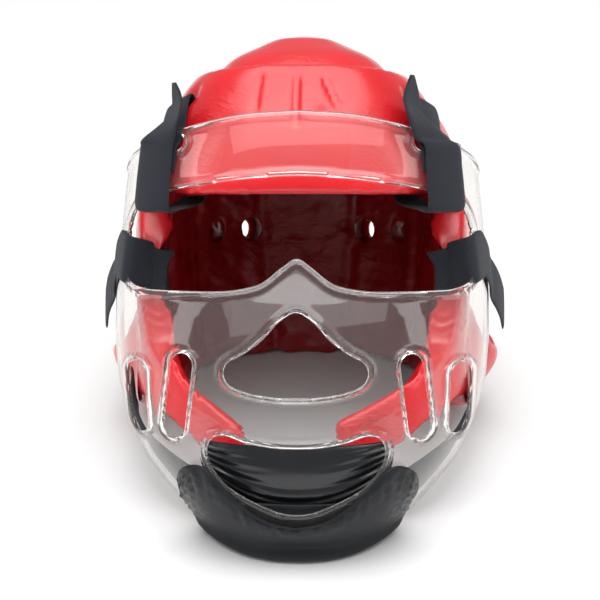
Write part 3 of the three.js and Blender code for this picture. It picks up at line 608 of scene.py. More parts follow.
# %% Cutters for the shell
def prism(name, outline, basis, low, high):
    """Closed prism over an outline; basis gives the outline's two directions and the depth direction."""
    outline = np.asarray(outline, float)
    n = len(outline)
    right, upward, deep = (np.asarray(b, float) for b in basis)
    ring = outline[:, :1] * right + outline[:, 1:] * upward
    points = np.concatenate([ring + low * deep, ring + high * deep])
    j = np.arange(n)
    k = (j + 1) % n
    sides = np.stack([j, k, k + n, j + n], axis=1)
    piece = mesh_object(name, rest(points), sides, j[None, ::-1], j[None, :] + n)
    area = np.sum(outline[:, 0] * np.roll(outline[:, 1], -1) - outline[:, 1] * np.roll(outline[:, 0], -1))
    turned = area * np.linalg.det(np.stack([right, upward, deep])) < 0
    if turned:
        piece.data.flip_normals()
    return piece


FRONT_VIEW = ((1, 0, 0), (0, 0, 1), (0, -1, 0))
SIDE_VIEW = ((0, 1, 0), (0, 0, 1), (1, 0, 0))
TOP_VIEW = ((1, 0, 0), (0, 1, 0), (0, 0, 1))


def circle(x, y, radius, steps=32):
    turn = np.linspace(0, 2 * np.pi, steps, endpoint=False)
    return np.stack([x + radius * np.cos(turn), y + radius * np.sin(turn)], axis=1)


def face_outline():
    """The face opening from the side: brow, temple, cheek pad and jaw flap, rounded at the temple."""
    top, pads = FACE["top"], FACE["pads"]
    line = [(-OUTSIDE, top), (-75, top), (pads + 7, top), (pads + 14, top - 2.5), (pads + 15, top - 7),
            (pads + 12, top - 15), (pads + 4, top - 28), (pads, top - 42), (pads, 8), (pads, -6),
            (pads - 3, -19), (pads - 12, -27), (-OUTSIDE, -32)]
    return np.array(line, float)


def crown_slot_outline(side, start):
    azimuth = np.radians(np.linspace(start, CROWN_SLOT["to"], 9))
    middle = reach(SHELL["half_width"], SHELL["front"], azimuth) * CROWN_SLOT["share"]
    edge = lambda out: polar(middle + out * CROWN_SLOT["width"] / 2, azimuth, 0)[:, :2] * [side, 1]
    return np.concatenate([edge(1), edge(-1)[::-1]])


def cut(piece, cutters):
    """Subtract cutters from a piece, one Boolean each, and remove them."""
    for cutter in cutters:
        step = piece.modifiers.new(cutter.name, "BOOLEAN")
        step.operation = "DIFFERENCE"
        step.solver = "EXACT"
        step.object = cutter
    apply_modifiers(piece)
    for cutter in cutters:
        bpy.data.objects.remove(cutter)


# The jaw flaps from the front: their upper edges run down to two tips, and the left one reaches further in
FLAP_EDGES = [(-76, -20), (-66, -37), (-55, -48), (-30, -66.5), (-29, -120), (22, -120), (21, -62), (34, -56),
              (49, -48), (66, -37), (76, -20)]
shell_cutters = [
    prism("cut_face", face_outline(), SIDE_VIEW, -OUTSIDE, OUTSIDE),
    prism("cut_flaps", FLAP_EDGES, FRONT_VIEW, -FACE["pads"] + 3, OUTSIDE),
]
vent = circle(0, 0, 1) * [BACK_HOLE["half_width"], BACK_HOLE["half_height"]] + [0, BACK_HOLE["height"]]
for side in (-1, 1):
    shell_cutters.append(prism("cut_ear", circle(EAR["behind"], EAR["height"] + 13, EAR["hole"]), SIDE_VIEW,
                               min(side * 60, side * 160), max(side * 60, side * 160)))
    for turn in BACK_HOLE["turns"]:
        c, s = math.cos(math.radians(turn)), side * math.sin(math.radians(turn))
        shell_cutters.append(prism("cut_vent", vent, ((c, -s, 0), (0, 0, 1), (s, c, 0)), 50, 160))
    shell_cutters.append(prism("cut_crown_slot", crown_slot_outline(side, CROWN_SLOT["from"]), TOP_VIEW,
                               CROWN_SLOT["step"] - 4, OUTSIDE + 20))
    shell_cutters.append(prism("cut_slot_foot", crown_slot_outline(side, CROWN_SLOT["below"]), TOP_VIEW,
                               50, CROWN_SLOT["step"]))

shell = shell_blank()
cut(shell, shell_cutters)
print("shell after cutting:", len(shell.data.vertices), "vertices")

# %% [markdown]
# The voxels are about 2 mm, fine enough to keep the vents and coarse enough for a short script. Ten
# rounds of smoothing turn the stepped cut edges into rolled lips. The fine forms are then heights along
# the normal, each a short formula of the place: bells for dimples and creases, cosines for grooves, and
# the seeded ripples for the rest.

# %% Round every edge: remesh, smooth, then add the fine forms
VOXEL = 0.0021
remesh = shell.modifiers.new("skin", "REMESH")
remesh.mode = "VOXEL"
remesh.voxel_size = VOXEL
soften = shell.modifiers.new("soften", "SMOOTH")
soften.factor = 0.5
soften.iterations = 10
apply_modifiers(shell)


def worn(points):
    """Resting metres back to worn millimetres, the reverse of rest."""
    x, y, z = (np.asarray(points, float) - SEAT).T / MM
    c, s = math.cos(LEAN), math.sin(LEAN)
    return np.stack([x, y * c - z * s, y * s + z * c], axis=-1)


def normals_of(piece):
    """Vertex normals turned into the worn frame."""
    flat = np.empty(3 * len(piece.data.vertices), np.float32)
    piece.data.vertex_normals.foreach_get("vector", flat)
    normals = flat.reshape(-1, 3).astype(float)
    return worn(normals * MM + SEAT)


def crease(points, start, end, width):
    """1 on a line from start to end, falling off like a bell over its width, fading out at both ends."""
    a, b = np.asarray(start, float), np.asarray(end, float)
    along = b - a
    t = (points[:, [0, 2]] - a) @ along / (along @ along)
    near = a + np.clip(t, 0, 1)[:, None] * along
    away = np.linalg.norm(points[:, [0, 2]] - near, axis=1)
    return np.exp(-((away / width) ** 2)) * smoothstep(-0.25, 0.2, t) * (1 - smoothstep(0.75, 1.25, t))


# Start and end of each crease as x and z, its width and its depth; a negative depth is a raised fold
FOREHEAD_CREASES = [
    ((-22, 134), (-24.5, 112), 1.9, 1.3),
    ((-1.5, 134), (-1.5, 105), 1.9, 2.0),
    ((3, 130), (2.5, 107), 2.2, -0.9),
    ((14, 133), (23, 113), 2.0, 1.9),
    ((9, 128), (13, 114), 3.0, -0.9),
]
STRAP_DENT = {"height": 20, "depth": 10, "half": 19}
VENT_DIMPLE = {"depth": 3.0, "radius": 12}
GROOVE = {"depth": 3.2, "around": 11, "twist": 0.012, "sharpness": 6}
PUCKER_DEPTH = 0.6


def strap_dent(z, ahead):
    """How far a side strap pulls the inner edge of the cheek pad outwards: a bell over the height."""
    bell = np.exp(-(((z - STRAP_DENT["height"]) / STRAP_DENT["half"]) ** 4))
    return STRAP_DENT["depth"] * bell * smoothstep(-25, 25, ahead)


def shell_details(points, normals):
    """Height of the fine forms along the normal: creases, dimples round the vents, puckers and ripples."""
    x, y, z = points.T
    height = np.zeros(len(points))
    radius = np.hypot(x, y)
    azimuth = np.arctan2(x, -y)
    inside = np.einsum("ij,ij->i", normals[:, :2], points[:, :2]) < 0
    front = smoothstep(60, 80, -y) * ~inside
    for start, end, width, depth in FOREHEAD_CREASES:
        height -= depth * crease(points, start, end, width) * front
    back = inside * smoothstep(20, 60, y)
    for turn in BACK_HOLE["turns"]:
        away = np.hypot((np.abs(np.arctan2(x, y)) - math.radians(turn)) * radius, z - BACK_HOLE["height"])
        height -= VENT_DIMPLE["depth"] * np.exp(-((away / VENT_DIMPLE["radius"]) ** 2)) * back
    grooves = inside * smoothstep(0.4, 0.7, np.abs(azimuth))
    grooves = grooves * smoothstep(-70, -30, z) * (1 - smoothstep(70, 95, z))
    comb = np.maximum(0, np.cos(np.abs(azimuth) * GROOVE["around"] + GROOVE["twist"] * z))
    height -= GROOVE["depth"] * grooves * comb ** GROOVE["sharpness"]
    pads = inside * smoothstep(0.3, 0.6, np.abs(azimuth)) * (1 - smoothstep(60, 90, z))
    pads *= smoothstep(-45, -25, z)
    height += 0.75 * pads * ripples(points, 21, 5) + 0.3 * pads * ripples(points, 8, 6)
    height += 0.12 * ripples(points, 28, 7) + 0.08 * inside * ripples(points, 9, 8)
    cheeks = smoothstep(38, 58, -y) * (1 - smoothstep(0, 14, z)) * smoothstep(-42, -22, z)
    puckers = np.sin(z * 0.95 + 1.8 * np.sin(radius * 0.5) + 2.2 * np.sin(y * 0.21))
    height += PUCKER_DEPTH * cheeks * puckers * smoothstep(-0.4, 0.6, ripples(points, 22, 9))
    return height


shape = worn(get_points(shell))
facing = normals_of(shell)
inward = np.einsum("ij,ij->i", facing[:, :2], shape[:, :2]) < 0
under_dome = (facing[:, 2] < -0.3) & (shape[:, 2] > 60)
# Mask for painted shade: the inside of the shell and the underside of the dome, fading out towards the face;
# the red material darkens its colour there.
hollow_shade_mask = inward * (1 - smoothstep(112, 124, shape[:, 2])) + under_dome
point_attribute(shell, "hollow", hollow_shade_mask.clip(0, 1) * smoothstep(-70, -25, shape[:, 1]))
plan = np.hypot(shape[:, 0], shape[:, 1])
wall_share = (pad_outer(shape[:, 2], np.arctan2(shape[:, 0], -shape[:, 1])) - plan) / SHELL["wall"]
pull = strap_dent(shape[:, 2], -shape[:, 1]) * smoothstep(0.1, 0.85, wall_share) * (shape[:, 2] < 60)
shape[:, :2] *= (1 + 1.2 * pull / np.maximum(plan, 1))[:, None]
pressed = strap_dent(shape[:, 2], -shape[:, 1]) * smoothstep(50, 58, -shape[:, 1]) * (shape[:, 2] < 60)
shape[:, 1] += 0.3 * pressed * smoothstep(-0.2, 0.1, wall_share)
shape += facing * shell_details(shape, facing)[:, None]
set_points(shell, above_floor(rest(shape)))
surface_with(shell, red)
stand_for(shell, "headgear_shell")
print("shell:", len(shell.data.vertices), "vertices")

# %% [markdown]
# The clear shield is one thin sheet. Cutting its openings with Booleans would leave long thin faces that
# ruin the gloss, so here the grid itself is trimmed: points near an outline are moved onto it, and faces
# inside an opening are left out. The distance to the nearest outline also drives the moulded bead that
# runs round every opening.

# %% Sizes and sections of the shield
SHIELD = {"top": 112.5, "bottom": 131, "wall": 2.2, "side_gap": 3.5, "flare": 7, "brow_gap": 5, "bulge": 31,
          "end": 77}
SHIELD_ROWS = table(
    "height flare bulge taper",
    [1, 0, -0.2, 0.945], [0.84, 0, -0.08, 0.975], [0.68, 0.1, 0, 1], [0.45, 0.5, 0.16, 1],
    [0.22, 0.85, 0.42, 1], [0.04, 1, 0.71, 1], [-0.16, 1, 0.93, 1], [-0.35, 0.9, 1, 0.985],
    [-0.47, 0.7, 0.97, 0.96], [-0.58, 0.5, 0.9, 0.925], [-0.67, 0.3, 0.84, 0.88], [-0.78, 0, 0.71, 0.795],
    [-0.87, 0, 0.55, 0.7], [-0.95, 0, 0.32, 0.61], [-1, 0, 0.14, 0.56],
)
SHIELD_EDGE = table(
    "azimuth height",
    [0, -1], [12, -0.99], [22, -0.955], [32, -0.905], [42, -0.84], [52, -0.76], [60, -0.68], [68, -0.58],
    [77, -0.44],
)
SHIELD_TOP = table(
    "x height",
    [0, 1], [0.28, 0.98], [0.53, 0.928], [0.7, 0.885], [0.82, 0.83], [0.91, 0.765], [1.02, 0.6],
)
SHIELD_HALF = SHELL["half_width"] + SHIELD["side_gap"] + SHIELD["flare"]


def shield_radius(z, azimuth):
    """Outer radius of the sheet: the shell's plan moved out by the gaps, the flare and the bulge."""
    share = np.where(z > 0, z / SHIELD["top"], z / SHIELD["bottom"])
    flare = SHIELD["flare"] * column(SHIELD_ROWS, "height", "flare", share)
    bulge = SHIELD["bulge"] * column(SHIELD_ROWS, "height", "bulge", share)
    width = (SHELL["half_width"] + SHIELD["side_gap"] + flare) * column(SHIELD_ROWS, "height", "taper", share)
    return reach(width, SHELL["front"] + SHIELD["brow_gap"] + bulge, azimuth)


def shield_edge(azimuth):
    """Height of the lower edge at an azimuth."""
    turn = np.minimum(SHIELD["end"], np.degrees(np.abs(azimuth)))
    return SHIELD["bottom"] * column(SHIELD_EDGE, "azimuth", "height", turn)


def shield_top(azimuth):
    """Height of the upper edge at an azimuth, found by stepping between the sheet and the edge's outline."""
    z = np.full_like(azimuth, SHIELD["top"])
    for _ in range(12):
        x = np.abs(shield_radius(z, azimuth) * np.sin(azimuth)) / SHIELD_HALF
        z = 0.5 * z + 0.5 * SHIELD["top"] * column(SHIELD_TOP, "x", "height", x)
    return z


# %% [markdown]
# The openings are drawn as seen from the front, each half outline in shares of the opening's own half
# width and height, so one number widens or deepens it. Slots are stadiums: two half circles joined by
# straight sides.

# %% Outlines of the openings, seen from the front
NOSE = {"half_width": 39, "height": 45, "top": 2}
MOUTH = {"half_width": 48.5, "height": 44, "top": -64.5}
EYES = {"half_width": 99.5, "height": 63, "top": 76}
SLOTS = {"length": 47, "width": 12.5, "inner_x": 65, "inner_z": -44, "outer_x": 91, "outer_z": -48}
BROW_SLOT = {"width": 24, "height": 11, "x": 76.5, "z": 96}
NOSE_HALF = [(0, 0), (0.23, -0.11), (0.47, -0.33), (0.72, -0.49), (0.95, -0.61), (1, -0.72), (0.92, -0.85),
             (0.7, -0.93), (0.36, -0.985), (0, -1)]
MOUTH_HALF = [(0, -0.15), (0.28, -0.135), (0.55, -0.08), (0.8, 0), (0.95, -0.05), (1, -0.23), (0.9, -0.49),
              (0.73, -0.68), (0.43, -0.865), (0.17, -0.98), (0, -1)]
EYE_HALF = [(0, 0), (0.24, -0.02), (0.47, -0.063), (0.66, -0.11), (0.8, -0.145), (0.89, -0.2), (0.945, -0.3),
            (0.985, -0.45), (1, -0.62), (1, -0.8), (0.98, -0.93), (0.89, -0.99), (0.74, -1), (0.58, -1),
            (0.38, -0.99), (0.2, -0.93), (0.08, -0.79), (0, -0.715)]


def stadium(x, y, width, length, lean, steps=14):
    """Outline of a slot with round ends, leaning by an angle."""
    turn = np.linspace(0, np.pi, steps)
    arc = np.stack([np.cos(turn), np.sin(turn)], axis=1) * width / 2
    rise = np.array([0, (length - width) / 2])
    points = np.concatenate([arc + rise, -arc - rise])
    c, s = math.cos(lean), math.sin(lean)
    return points @ np.array([[c, s], [-s, c]]) + [x, y]


def opening(half, size, steps):
    return mirrored([(u * size["half_width"], size["top"] + v * size["height"]) for u, v in half], steps)


holes = [opening(NOSE_HALF, NOSE, 12), opening(MOUTH_HALF, MOUTH, 12), opening(EYE_HALF, EYES, 12)]
for side in (-1, 1):
    holes.append(stadium(side * SLOTS["inner_x"], SLOTS["inner_z"], SLOTS["width"], SLOTS["length"],
                         side * math.radians(8)))
    holes.append(stadium(side * SLOTS["outer_x"], SLOTS["outer_z"], SLOTS["width"], 0.87 * SLOTS["length"],
                         side * math.radians(-2)))
    holes.append(stadium(side * BROW_SLOT["x"], BROW_SLOT["z"], BROW_SLOT["height"], BROW_SLOT["width"],
                         math.radians(90)))


def nearest_on(outline, points):
    """Signed distance to a closed outline, negative inside it, and the nearest point on it."""
    a = outline
    b = np.roll(outline, -1, axis=0)
    run = b - a
    t = np.einsum("pnk,nk->pn", points[:, None, :] - a[None], run) / np.einsum("nk,nk->n", run, run)
    foot = a[None] + np.clip(t, 0, 1)[..., None] * run[None]
    away = np.linalg.norm(points[:, None, :] - foot, axis=2)
    pick = np.argmin(away, axis=1)
    rows = np.arange(len(points))
    above = (a[:, 1] > points[:, 1:2]) != (b[:, 1] > points[:, 1:2])
    rise = np.where(np.abs(run[:, 1]) < 1e-9, 1e-9, run[:, 1])
    crossing = a[:, 0] + (points[:, 1:2] - a[:, 1]) * run[:, 0] / rise
    inside = np.sum(above & (points[:, :1] < crossing), axis=1) % 2 == 1
    distance = away[rows, pick]
    return np.where(inside, -distance, distance), foot[rows, pick]


def nearest_hole(points):
    """Signed distance and nearest point over all the openings."""
    best = np.full(len(points), 1e9)
    foot = np.zeros_like(points)
    for outline in holes:
        low, high = outline.min(axis=0) - 12, outline.max(axis=0) + 12
        near = np.all((points > low) & (points < high), axis=1)
        if not near.any():
            continue
        distance, place = nearest_on(outline, points[near])
        index = np.flatnonzero(near)
        closer = distance < best[index]
        best[index[closer]] = distance[closer]
        foot[index[closer]] = place[closer]
    return best, foot


# %% [markdown]
# The bead is a half ellipse raised over the distance to the nearest edge. Solidify then gives the sheet its
# wall, and a small bevel lets the cut edges catch the light. A grid point next to an outline is snapped
# onto it, first its height and then its azimuth, which a few Newton steps find.

# %% The trimmed and beaded sheet
BEAD = {"width": 4.4, "height": 1.3}


def bead(distance):
    """Half-round moulding beside an edge: the upper half of an ellipse as wide as the bead."""
    t = np.clip(distance / BEAD["width"], 0, 1) * 2 - 1
    return BEAD["height"] * np.sqrt(np.maximum(0, 1 - t * t))


def shield_sheet():
    """Grid over the sheet, trimmed to the openings, with the bead raised along them."""
    columns, rows = ((280, 204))
    end = math.radians(SHIELD["end"])
    azimuth = np.linspace(-end, end, columns)
    top, low = shield_top(azimuth), shield_edge(azimuth)
    share = np.linspace(0, 1, rows)[:, None]
    z = (top + (low - top) * share).ravel()
    azimuth = np.tile(azimuth, rows)
    front = lambda: np.stack([shield_radius(z, azimuth) * np.sin(azimuth), z], axis=1)
    distance, foot = nearest_hole(front())
    sign = (distance < 0).reshape(rows, columns)
    d = np.abs(distance).reshape(rows, columns)
    snap = np.zeros((rows, columns), bool)
    for axis in (0, 1):
        first = (slice(None, -1), slice(None)) if axis == 0 else (slice(None), slice(None, -1))
        second = (slice(1, None), slice(None)) if axis == 0 else (slice(None), slice(1, None))
        crossed = sign[first] != sign[second]
        nearer = d[first] <= d[second]
        snap[first] |= crossed & nearer
        snap[second] |= crossed & ~nearer
    snap = snap.ravel()
    target = foot[snap]
    z[snap] = target[:, 1]
    for _ in range(8):
        radius = shield_radius(z[snap], azimuth[snap])
        azimuth[snap] += (target[:, 0] - radius * np.sin(azimuth[snap])) / (radius * np.cos(azimuth[snap]))
    kept = np.where(snap, 0.0, distance)
    quads = grid_faces(rows, columns)
    off = kept[quads] < 0
    middle = distance[quads].mean(axis=1) > 0
    whole = quads[(off.sum(axis=1) == 0) & ((kept[quads] > 0).any(axis=1) | middle)]
    cut_one = (off.sum(axis=1) == 1) & (kept[quads] > 0).any(axis=1)
    corner = np.argmax(off[cut_one], axis=1)
    ring = (corner[:, None] + np.arange(1, 4)) % 4
    triangles = np.take_along_axis(quads[cut_one], ring, axis=1)
    lift = bead(np.maximum(kept, 0))
    edge_distance = SHIELD["top"] * column(SHIELD_TOP, "x", "height",
                                           np.abs(front()[:, 0]) / SHIELD_HALF) - z
    lift = np.maximum(lift, bead(edge_distance))
    points = polar(shield_radius(z, azimuth) + lift, azimuth, z)
    used = np.zeros(len(points), bool)
    used[whole] = True
    used[triangles] = True
    renumber = np.cumsum(used) - 1
    return points[used], renumber[whole], renumber[triangles]


sheet_points, sheet_quads, sheet_triangles = shield_sheet()
shield = mesh_object("clear_shield", rest(sheet_points), sheet_quads[:, ::-1], sheet_triangles[:, ::-1])
wall = shield.modifiers.new("wall", "SOLIDIFY")
wall.thickness = SHIELD["wall"] * MM
wall.offset = -1
edges = shield.modifiers.new("edges", "BEVEL")
edges.width = 0.0005
edges.segments = 2
edges.limit_method = "ANGLE"
edges.angle_limit = math.radians(55)
apply_modifiers(shield)
surface_with(shield, clear)
stand_for(shield, "face_shield")
print("shield:", len(shield.data.vertices), "vertices, outward:", bool(normals_of(shield)[:, 1].mean() < 0.2))

# %% [markdown]
# The straps are flat webbing. Each is a band between two edges that run through chosen stations; the
# stations sit on the shell and the shield by the same formulas as those pieces, so nothing floats. The
# band gets its thickness, soft selvedges and a UV map in metres that carries the weave.

# %% A band of webbing
TOUCH = 0.35


def spline(points, steps):
    """Open smooth curve through stations along the first axis, with slopes from the stations beside them."""
    points = np.asarray(points, float)
    count = len(points)
    at = np.linspace(0, count - 1, steps)
    i = np.clip(at.astype(int), 0, count - 2)
    t = (at - i).reshape(-1, *[1] * (points.ndim - 1))
    before, after = points[np.maximum(i - 1, 0)], points[np.minimum(i + 2, count - 1)]
    a, b = points[i], points[i + 1]
    slope_a, slope_b = (b - before) / 2, (after - a) / 2
    curve = (2 * t**3 - 3 * t**2 + 1) * a + (t**3 - 2 * t**2 + t) * slope_a
    return curve + (3 * t**2 - 2 * t**3) * b + (t**3 - t**2) * slope_b


def closed_skin(name, loops, material, uv=None):
    """Closed skin over a row of rings, each end capped by quads across its ring, faces outwards."""
    rows, around = loops.shape[:2]
    points = loops.reshape(-1, 3)
    j = np.arange(around // 2 - 1)
    cap = np.stack([j, around - 1 - j, around - 2 - j, j + 1], axis=1)
    faces = np.concatenate([grid_faces(rows, around, wrap=True), cap, (cap + (rows - 1) * around)[:, ::-1]])
    piece = mesh_object(name, rest(points), faces, uv=uv)
    volume = np.einsum("ij,ij->", points[faces[:, 0]], np.cross(points[faces[:, 1]], points[faces[:, 2]]))
    if volume < 0:
        piece.data.flip_normals()
    piece.data.materials.append(material)
    return piece


def band(name, lines, cloth, steps):
    """Closed webbing band with thin selvedges; lines has stations, then places across, then x, y, z."""
    middle = spline(lines, steps)
    across = spline(np.swapaxes(middle, 0, 1), 13)
    middle = np.swapaxes(across, 0, 1)
    along = np.gradient(middle, axis=0)
    over = np.gradient(middle, axis=1)
    normal = np.cross(along, over)
    normal /= np.linalg.norm(normal, axis=2, keepdims=True)
    w = np.linspace(-1, 1, middle.shape[1])
    body = cloth["thick"] / 2 * np.sqrt(np.maximum(0.12, 1 - np.abs(w) ** 9))[None, :, None]
    loops = np.concatenate([middle + normal * body, (middle - normal * body)[:, ::-1]], axis=1)
    step = np.linalg.norm(np.diff(middle[:, middle.shape[1] // 2], axis=0), axis=1)
    run = np.concatenate([[0], np.cumsum(step)]) * MM
    breadth = cloth["width"] * MM
    u = np.concatenate([w, w[::-1]]) * breadth / 2
    uv = np.stack(np.broadcast_arrays(u[None, :], run[:, None]), axis=-1).reshape(-1, 2)
    piece = closed_skin(name, loops, webbing, uv)
    cut_size = (round(breadth, 4), round(float(run[-1]), 4))
    print(name, "length and width, m:", cut_size[1], cut_size[0])
    return piece, cut_size


def pad_inner(z, azimuth):
    """Inner radius of the foam at a height."""
    share = z / (SHELL["crown"] - SHELL["wall"])
    width, front, back = (column(INNER, "height", name, share) for name in ("width", "front", "back"))
    return shell_radius(width, front, back, azimuth, SHELL["wall"])


def pad_height(radius, azimuth):
    """Height at which the forehead pad has a given outer radius, by halving."""
    low, high = SHELL["crown"] * 0.5, SHELL["crown"] * 0.83
    for _ in range(20):
        z = (low + high) / 2
        if pad_outer(z, azimuth) > radius:
            low = z
        else:
            high = z
    return low


# %% [markdown]
# A brow strap starts in front of the brow bar, dives through its slot, lies on the forehead pad, drops
# through the crown slot, runs down behind the pad, comes out below it, and climbs in front of the bar again
# to its free tail. Each station below is one such place: how far the strap has drifted from the bar's
# azimuth to the crown slot's, a radius taken from the piece it lies on, and a height.

# %% Brow straps
BROW_STRAP = {"width": 28, "thick": 1.6, "azimuth": 43.5, "drift": 7.5}
# The tail's edges seen from the front, nearer to the middle and farther out, with its real breadth
TAIL_LEFT = table(
    "z inner outer breadth",
    [97, 65, 85, 28], [104, 62.5, 78, 28], [112, 60, 70, 27], [119, 58.5, 68.5, 24], [126, 60, 67, 15],
    [133, 63, 64.5, 4],
)
TAIL_RIGHT = table(
    "z inner outer breadth",
    [97, 69, 90, 28], [104, 67.5, 82, 28], [110, 66, 75.5, 27], [117, 65, 73, 24], [123, 66.5, 72.5, 15],
    [129, 70, 71.8, 4],
)


def brow_strap(side, tail):
    """Stations across the strap: from under its tail, through the slot, over and behind the pad, and back."""
    half = BROW_STRAP["thick"] / 2
    lie = half + TOUCH
    slot, top = BROW_SLOT["z"], FACE["top"]
    under = top - lie - 1
    over = 3 * lie + 0.3
    centre = math.radians(BROW_STRAP["azimuth"])
    drift = math.radians(BROW_STRAP["drift"])
    bar = lambda z, a: float(shield_radius(np.array(z), a))
    pad = lambda z, a: float(pad_outer(np.array(z), a))
    slot_half = CROWN_SLOT["width"] / 2
    hole = lambda a: reach(SHELL["half_width"], SHELL["front"], a) * CROWN_SLOT["share"] + slot_half
    deep = lambda a: hole(a) - lie - 1.2
    spread_bar = BROW_STRAP["width"] / bar(slot, centre)
    spread_hole = BROW_STRAP["width"] / hole(centre + drift)
    lines = []
    for w in np.linspace(-0.5, 0.5, 5):
        on_bar = centre + w * spread_bar
        at_hole = centre + drift + w * spread_hole
        lip = pad_height(hole(at_hole), at_hole)
        low, high = slot + 0.4 * (lip - slot), slot + 0.75 * (lip - slot)
        stations = [
            (0, lambda a: bar(slot - 18, a) + lie, slot - 18),
            (0, lambda a: bar(slot - 8, a) + lie, slot - 8),
            (0, lambda a: bar(slot - 4, a) + lie + 0.1, slot - 4.2),
            (0, lambda a: bar(slot, a) - SHIELD["wall"] / 2, slot - 0.8),
            (0.1, lambda a: bar(slot, a) - SHIELD["wall"] - 2, slot + 2.6),
            (0.4, lambda a: pad(low, a) + lie + 0.8, low),
            (0.75, lambda a: pad(high, a) + lie + 0.8, high),
            (1, lambda a: pad(lip - 1, a) + lie + 0.8, lip),
            (1, lambda a: hole(a) + 0.6, lip + lie + 2.4),
            (1, deep, lip + 0.5),
            (0.95, deep, lip - 8),
            (0.5, deep, (top + lip) / 2),
            (0.15, deep, top + 4),
            (0, lambda a: deep(a) + 2, under - 0.5),
            (0, lambda a: deep(a) + 9, under - 4),
            (0, lambda a: bar(top, a) - 8, under - 6),
            (0, lambda a: bar(top, a) - 0.5, under - 7.5),
            (0, lambda a: bar(top, a) + over, under - 4.5),
            (0, lambda a: bar(top + 8, a) + over + 0.3, top + 6),
            (0, lambda a: bar(slot - 14, a) + over + 0.3, slot - 14),
            (0, lambda a: bar(slot - 4, a) + over + 0.5, slot - 3),
        ]
        azimuth = [on_bar + m * (at_hole - on_bar) for m, _, _ in stations]
        radius = [where(a) for a, (_, where, _) in zip(azimuth, stations)]
        lines.append(polar(radius, azimuth, [z for _, _, z in stations]))
    lines = np.swapaxes(np.array(lines), 0, 1)
    flat = lines[-1]
    middle_y = flat[:, 1].mean()
    rows = []
    for z, inner, outer, breadth in zip(*(tail[name] for name in ("z", "inner", "outer", "breadth"))):
        depth = math.sqrt(max(breadth**2 - (outer - inner) ** 2, 0))
        w = np.linspace(0, 1, 5)
        lean = middle_y - 1.5 + 0.12 * (z - 97)
        rows.append(np.stack([inner + w * (outer - inner), lean + (w - 0.5) * depth, np.full(5, z)], axis=1))
    lines = np.concatenate([lines, rows])
    lines[..., 0] *= side
    return lines


STRAP_PIECES = []
for word, side, tail in (("left", 1, TAIL_LEFT), ("right", -1, TAIL_RIGHT)):
    piece, cut_size = band(f"brow_webbing_{word}", brow_strap(side, tail), BROW_STRAP, 150)
    STRAP_PIECES.append((piece, f"brow_strap_{word}", cut_size, ["face_shield", "headgear_shell"]))

# %% [markdown]
# A side strap starts flat against the inside of the cheek pad, which it pulls into a dent, turns round the
# pad's front edge and the side of the shield's eye opening, and falls back along the ear cup as a free tail
# that lifts a little towards its end.

# %% Side straps
SIDE_STRAP = {"width": 27, "thick": 1.8, "height": 31.5, "fall": 36, "tail": 91}


def side_strap(side):
    """Stations from inside the cheek pad, round the side of the eye opening, and back along the ear cup."""
    lie = SIDE_STRAP["thick"] / 2 + TOUCH
    lines = []
    for w in np.linspace(-0.5, 0.5, 5):
        z0 = SIDE_STRAP["height"] + w * SIDE_STRAP["width"]
        inner = lambda degrees, z: float(pad_inner(np.array(z), math.radians(degrees)))
        on_sheet = lambda degrees: math.radians(min(degrees, SHIELD["end"]))
        outer = lambda degrees, z: float(shield_radius(np.array(z), on_sheet(degrees)))
        front = lambda radius: math.acos(min(1, (-FACE["pads"] + lie + 2.6) / radius))
        points = []
        pulled = inner(52, z0) + float(strap_dent(z0 - 11, 60))
        for turn, drop in ((86, 12), (76, 13), (66, 13), (58, 12.5)):
            ahead = inner(turn, z0) * math.cos(math.radians(turn))
            radius = inner(turn, z0 - drop) - lie - 0.8 + 0.9 * float(strap_dent(z0 - drop, ahead))
            points.append(polar(radius, math.radians(turn), z0 - drop))
        points.append(polar(pulled - 3.5, math.acos((-FACE["pads"] + 1.5) / (pulled - 3.5)), z0 - 12.5))
        for radius, drop in ((pulled + 1, 12), (pulled + 7, 9.5),
                             (float(pad_outer(np.array(z0), math.radians(56))) - 2, 7)):
            points.append(polar(radius, front(radius), z0 - drop))
        points.append(polar(outer(52, z0) - 6, math.radians(52), z0 - 5))
        points.append(polar(outer(52, z0) + 0.5, math.radians(51.8), z0 - 3.5))
        points.append(polar(outer(53.5, z0) + lie + 1.3, math.radians(53.5), z0 - 2))
        points.append(polar(outer(57, z0) + lie + 0.8, math.radians(57), z0 - 0.7))
        for i in range(7):
            turn = 61 + (SIDE_STRAP["tail"] - 61) * i / 6
            z = z0 - SIDE_STRAP["fall"] * (i / 6) ** 1.2
            lift = 0.3 if i < 4 else 0.3 + 2.2 * (i - 3)
            points.append(polar(outer(turn, z) + lie + lift, math.radians(turn), z))
        lines.append(points)
    lines = np.swapaxes(np.array(lines), 0, 1)
    lines[..., 0] *= side
    return lines


for word, side in (("left", 1), ("right", -1)):
    piece, cut_size = band(f"side_webbing_{word}", side_strap(side), SIDE_STRAP, 120)
    STRAP_PIECES.append((piece, f"side_strap_{word}", cut_size, ["face_shield", "headgear_shell"]))

# %% [markdown]
# The chin strap leaves one ear cup, keeps inside the shield, goes below the jaw flaps and lies down flat
# under the chin rest, then comes up the same way on the other side. A table over the azimuth says how
# high it is, how far inside the shield, how much it still follows the foam, and how flat it lies.

# %% Chin strap
CHIN_STRAP = {"width": 25, "thick": 2, "anchor": 80}
CHIN_ROUTE = table(
    "azimuth height inset foam flat",
    [80, -0.4, 0, 1, 0], [72, -0.44, 0, 0.8, 0], [63, -0.53, 1.5, 0, 0], [52, -0.635, 2, 0, 0.05],
    [42, -0.72, 6.5, 0, 0.2], [34, -0.8, 12, 0, 0.45], [25, -0.865, 15, 0, 0.75], [15, -0.92, 17, 0, 0.95],
    [0, -0.935, 18, 0, 1],
)


